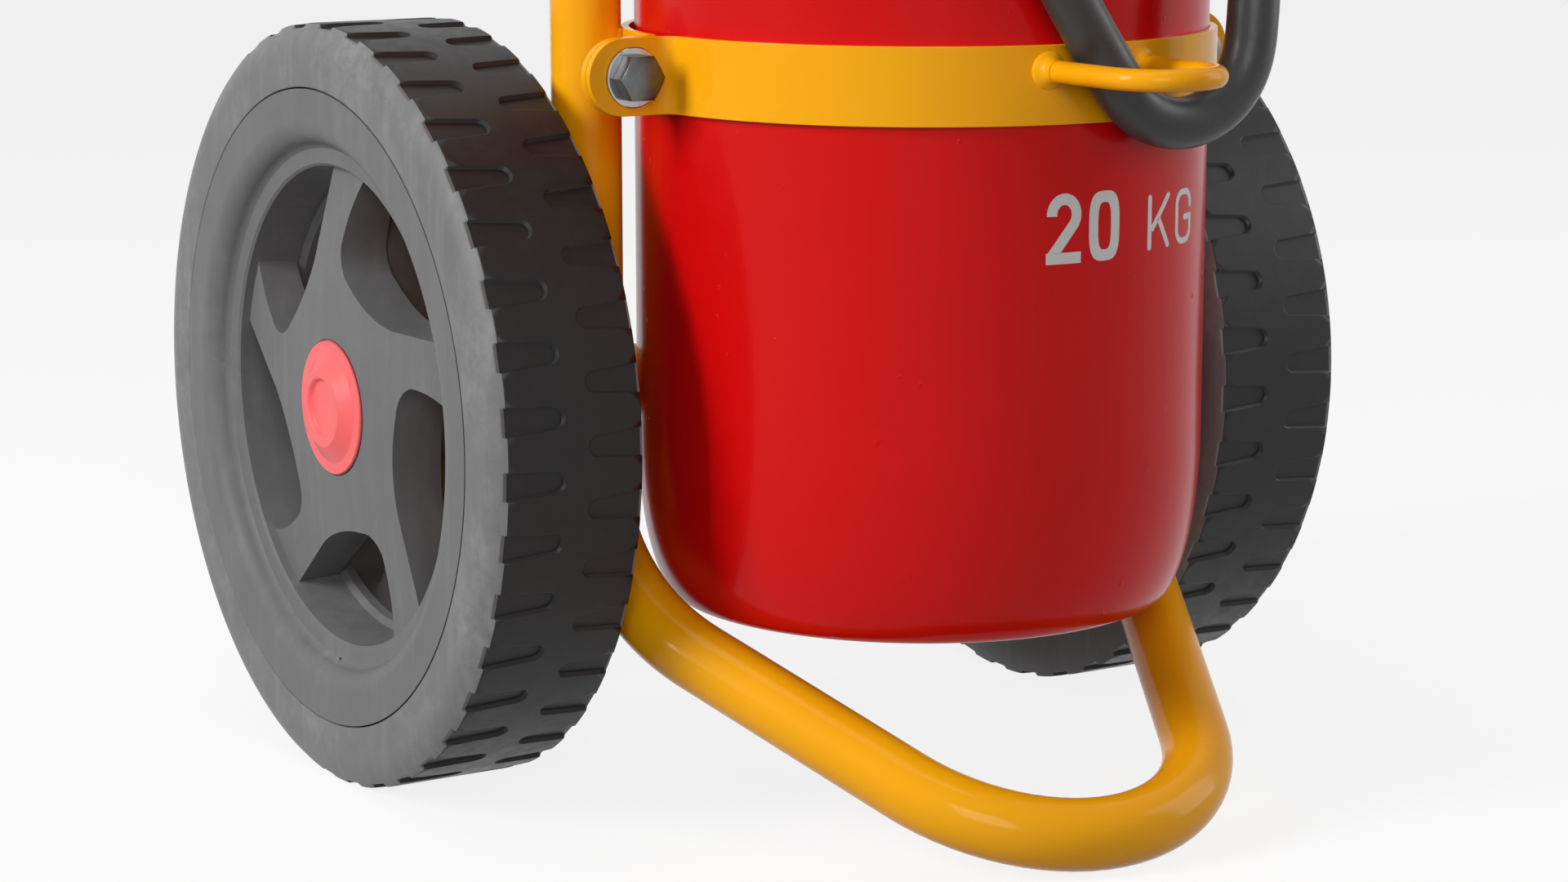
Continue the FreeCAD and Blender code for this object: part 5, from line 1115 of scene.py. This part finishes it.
def stroke(points, width, roundEnds=False):
    # a ribbon of four-sided faces along a flat line, mitred at its corners
    left, right = [], []
    count = len(points)
    for index, point in enumerate(points):
        p = Vector(point)
        before = (p - Vector(points[index - 1])).normalized() if index else None
        after = (Vector(points[index + 1]) - p).normalized() if index < count - 1 else None
        direction = ((before or after) + (after or before)).normalized()
        normal = Vector((-direction.y, direction.x))
        reach = width / 2
        if before and after:
            reach /= max(0.35, normal.dot(Vector((-after.y, after.x))))
        left.append(p + normal * reach)
        right.append(p - normal * reach)
    loops = [[left[k], right[k], right[k + 1], left[k + 1]] for k in range(count - 1)]
    if roundEnds:
        for end, inner in ((0, 1), (count - 1, count - 2)):
            p = Vector(points[end])
            away = (p - Vector(points[inner])).normalized()
            sideways = Vector((-away.y, away.x))
            loops.append([p + (sideways * math.cos(a) + away * math.sin(a)) * width / 2
                          for a in (math.pi * k / 8 for k in range(9))])
    return loops


def wrapMark(name, loops, azimuth, base):
    # flat loops to a thin print on the cylinder, left edge at an azimuth in degrees
    work = bmesh.new()
    for loop in loops:
        work.faces.new([work.verts.new((point[0], 0, point[1])) for point in loop])
    bmesh.ops.remove_doubles(work, verts=work.verts, dist=0.02)
    for cut in range(1, 40):
        geometry = work.verts[:] + work.edges[:] + work.faces[:]
        bmesh.ops.bisect_plane(work, geom=geometry, dist=1e-4, plane_co=(cut * 1.1 - 2, 0, 0), plane_no=(1, 0, 0))
    radius = shared["cylinderRadius"] + markLook["lift"]
    for vert in work.verts:
        angle = math.radians(azimuth) + vert.co.x / shared["cylinderRadius"]
        vert.co = mm(radius * math.sin(angle), shared["cylinderY"] - radius * math.cos(angle), base + vert.co.z)
    bmesh.ops.recalc_face_normals(work, faces=work.faces)
    for face in work.faces:
        outwards = face.calc_center_median() - mm(0, shared["cylinderY"], 0)
        outwards.z = 0
        if face.normal.dot(outwards) < 0:
            face.normal_flip()
    mesh = bpy.data.meshes.new(name)
    work.to_mesh(mesh)
    work.free()
    obj = thicken(addToScene(bpy.data.objects.new(name, mesh)), markLook["thick"])
    return fit(obj, "printWhite", slot="cylinder_red")


def digitTwo(x, width, height, pen):
    half = pen / 2
    rx = width / 2 - half
    bowl = arcPoints(x + width / 2, height - half - rx * 1.12, rx, rx * 1.12, 184, -34, 20)
    foot = (x + half + 0.35, pen - 0.9)
    loops = stroke(bowl + [foot], pen)
    # level the stroke's lower end with the foot bar
    end = loops[-1]
    direction = (Vector(foot) - Vector(bowl[-1])).normalized()
    for corner in (2, 3):
        end[corner] = end[corner] + direction * ((pen - end[corner].y) / direction.y)
    bar = [Vector(point) for point in ((x - 0.2, 0), (x + width, 0), (x + width, pen))]
    return loops + [bar + [end[2].copy(), end[3].copy(), Vector((x - 0.2, pen))]]


def digitZero(x, width, height, pen, steps=40, power=0.62):
    outer, inner = [], []
    for k in range(steps):
        a = 2 * math.pi * k / steps
        fx, fy = (math.copysign(abs(value) ** power, value) for value in (math.cos(a), math.sin(a)))
        for side, inset in ((outer, 0), (inner, pen)):
            side.append(Vector((x + width / 2 + (width / 2 - inset) * fx, height / 2 + (height / 2 - inset) * fy)))
    return [[outer[k], outer[(k + 1) % steps], inner[(k + 1) % steps], inner[k]] for k in range(steps)]


def letterK(x, width, height, pen):
    half = pen / 2
    stem = stroke([(x + half, half), (x + half, height - half)], pen, True)
    arm = stroke([(x + pen + 0.02, height * 0.36), (x + width - half, height - half)], pen, True)
    leg = stroke([(x + width * 0.46, height * 0.56), (x + width - half, half)], pen, True)
    # the arm and the leg start square, inside the other strokes
    return stem + arm[:1] + arm[2:] + leg[:1] + leg[2:]


def letterG(x, width, height, pen, corner=4.6):
    half = pen / 2
    left, right, low, high = x + half, x + width - half, half, height - half
    path = [(right, height * 0.69)]
    for cx, cy, start in ((right - corner, high - corner, 0), (left + corner, high - corner, 90),
                          (left + corner, low + corner, 180), (right - corner, low + corner, 270)):
        path += arcPoints(cx, cy, corner, corner, start, start + 90, 8)
    path += [(right, height * 0.48), ((left + right) / 2 + 0.8, height * 0.48)]
    return stroke(path, pen, True)


# bold and light are (width, height, pen); the places are (azimuth, height)
look = markLook
bold, light = look["bold"], look["light"]
wrapMark("chargeNumber", digitTwo(0, *bold) + digitZero(look["zeroStart"], *bold), *look["numberAt"])
wrapMark("chargeUnit", letterK(0, *light) + letterG(look["gStart"], *light), *look["unitAt"])
print("marking printed")

# Floor, backdrop light and lamps
studioLook = {"white": 0.93, "bounce": 0.3, "keep": 0.17, "glow": 0.91, "world": 0.08, "half": 9.0}
lampLook = {
    "keyLamp": ((-2.4, 0.15, 1.3), (0, 0, 0.35), (0.7, 1.3), 52),
    "frontLamp": ((-1.5, -2.5, 1.2), (0, 0, 0.4), (1.3, 1.3), 28),
    "sideLamp": ((2.3, -0.9, 1.1), (0, 0, 0.4), (1.2, 1.8), 20),
    "topLamp": ((-0.2, 0.1, 2.6), (0, 0, 0.3), (1.6, 1.6), 12),
}


def seenShare(tree):
    # 1 for rays that show the backdrop to the eye, in metal and through glass too
    rays = addNode(tree, "ShaderNodeLightPath").outputs
    seen = math2(tree, "MAXIMUM", rays["Is Camera Ray"], rays["Is Glossy Ray"])
    return math2(tree, "MAXIMUM", seen, rays["Is Transmission Ray"])


def makeFloor():
    half, white, bounce = studioLook["half"], studioLook["white"], studioLook["bounce"]
    kept = white * studioLook["keep"]
    floor = meshObject("studioFloor", [(-half, -half, 0), (half, -half, 0), (half, half, 0), (-half, half, 0)],
                       [(0, 1, 2, 3)], smooth=False)
    material, tree, shader = newMaterial("paleFloor", {
        "Roughness": 0.9, "Specular IOR Level": 0.0, "Emission Color": (white, white, white, 1)})
    seen = seenShare(tree)
    colour = mixColour(tree, seen, (bounce, bounce, bounce, 1), (kept, kept, kept, 1))
    feed(tree, shader.inputs["Base Color"], colour)
    feed(tree, shader.inputs["Emission Strength"], times(tree, seen, studioLook["glow"]))
    floor.data.materials.append(material)


def makeWorld():
    world = bpy.data.worlds.new("studioWorld")
    scene.world = world
    world.use_nodes = True
    tree = world.node_tree
    sky = tree.nodes["Background"].inputs
    sky["Color"].default_value = (1, 1, 1, 1)
    feed(tree, sky["Strength"], remap(tree, seenShare(tree), 0, 1, studioLook["world"], studioLook["white"]))


def areaLamp(name, place, aim, size, power):
    data = bpy.data.lights.new(name, "AREA")
    data.shape = "RECTANGLE"
    data.size, data.size_y = size
    data.energy = power
    lamp = addToScene(bpy.data.objects.new(name, data))
    lamp.location = place
    lamp.rotation_euler = (Vector(aim) - Vector(place)).to_track_quat("-Z", "Y").to_euler()


makeFloor()
makeWorld()
for lampName, settings in lampLook.items():
    areaLamp(lampName, *settings)
print("studio lit")
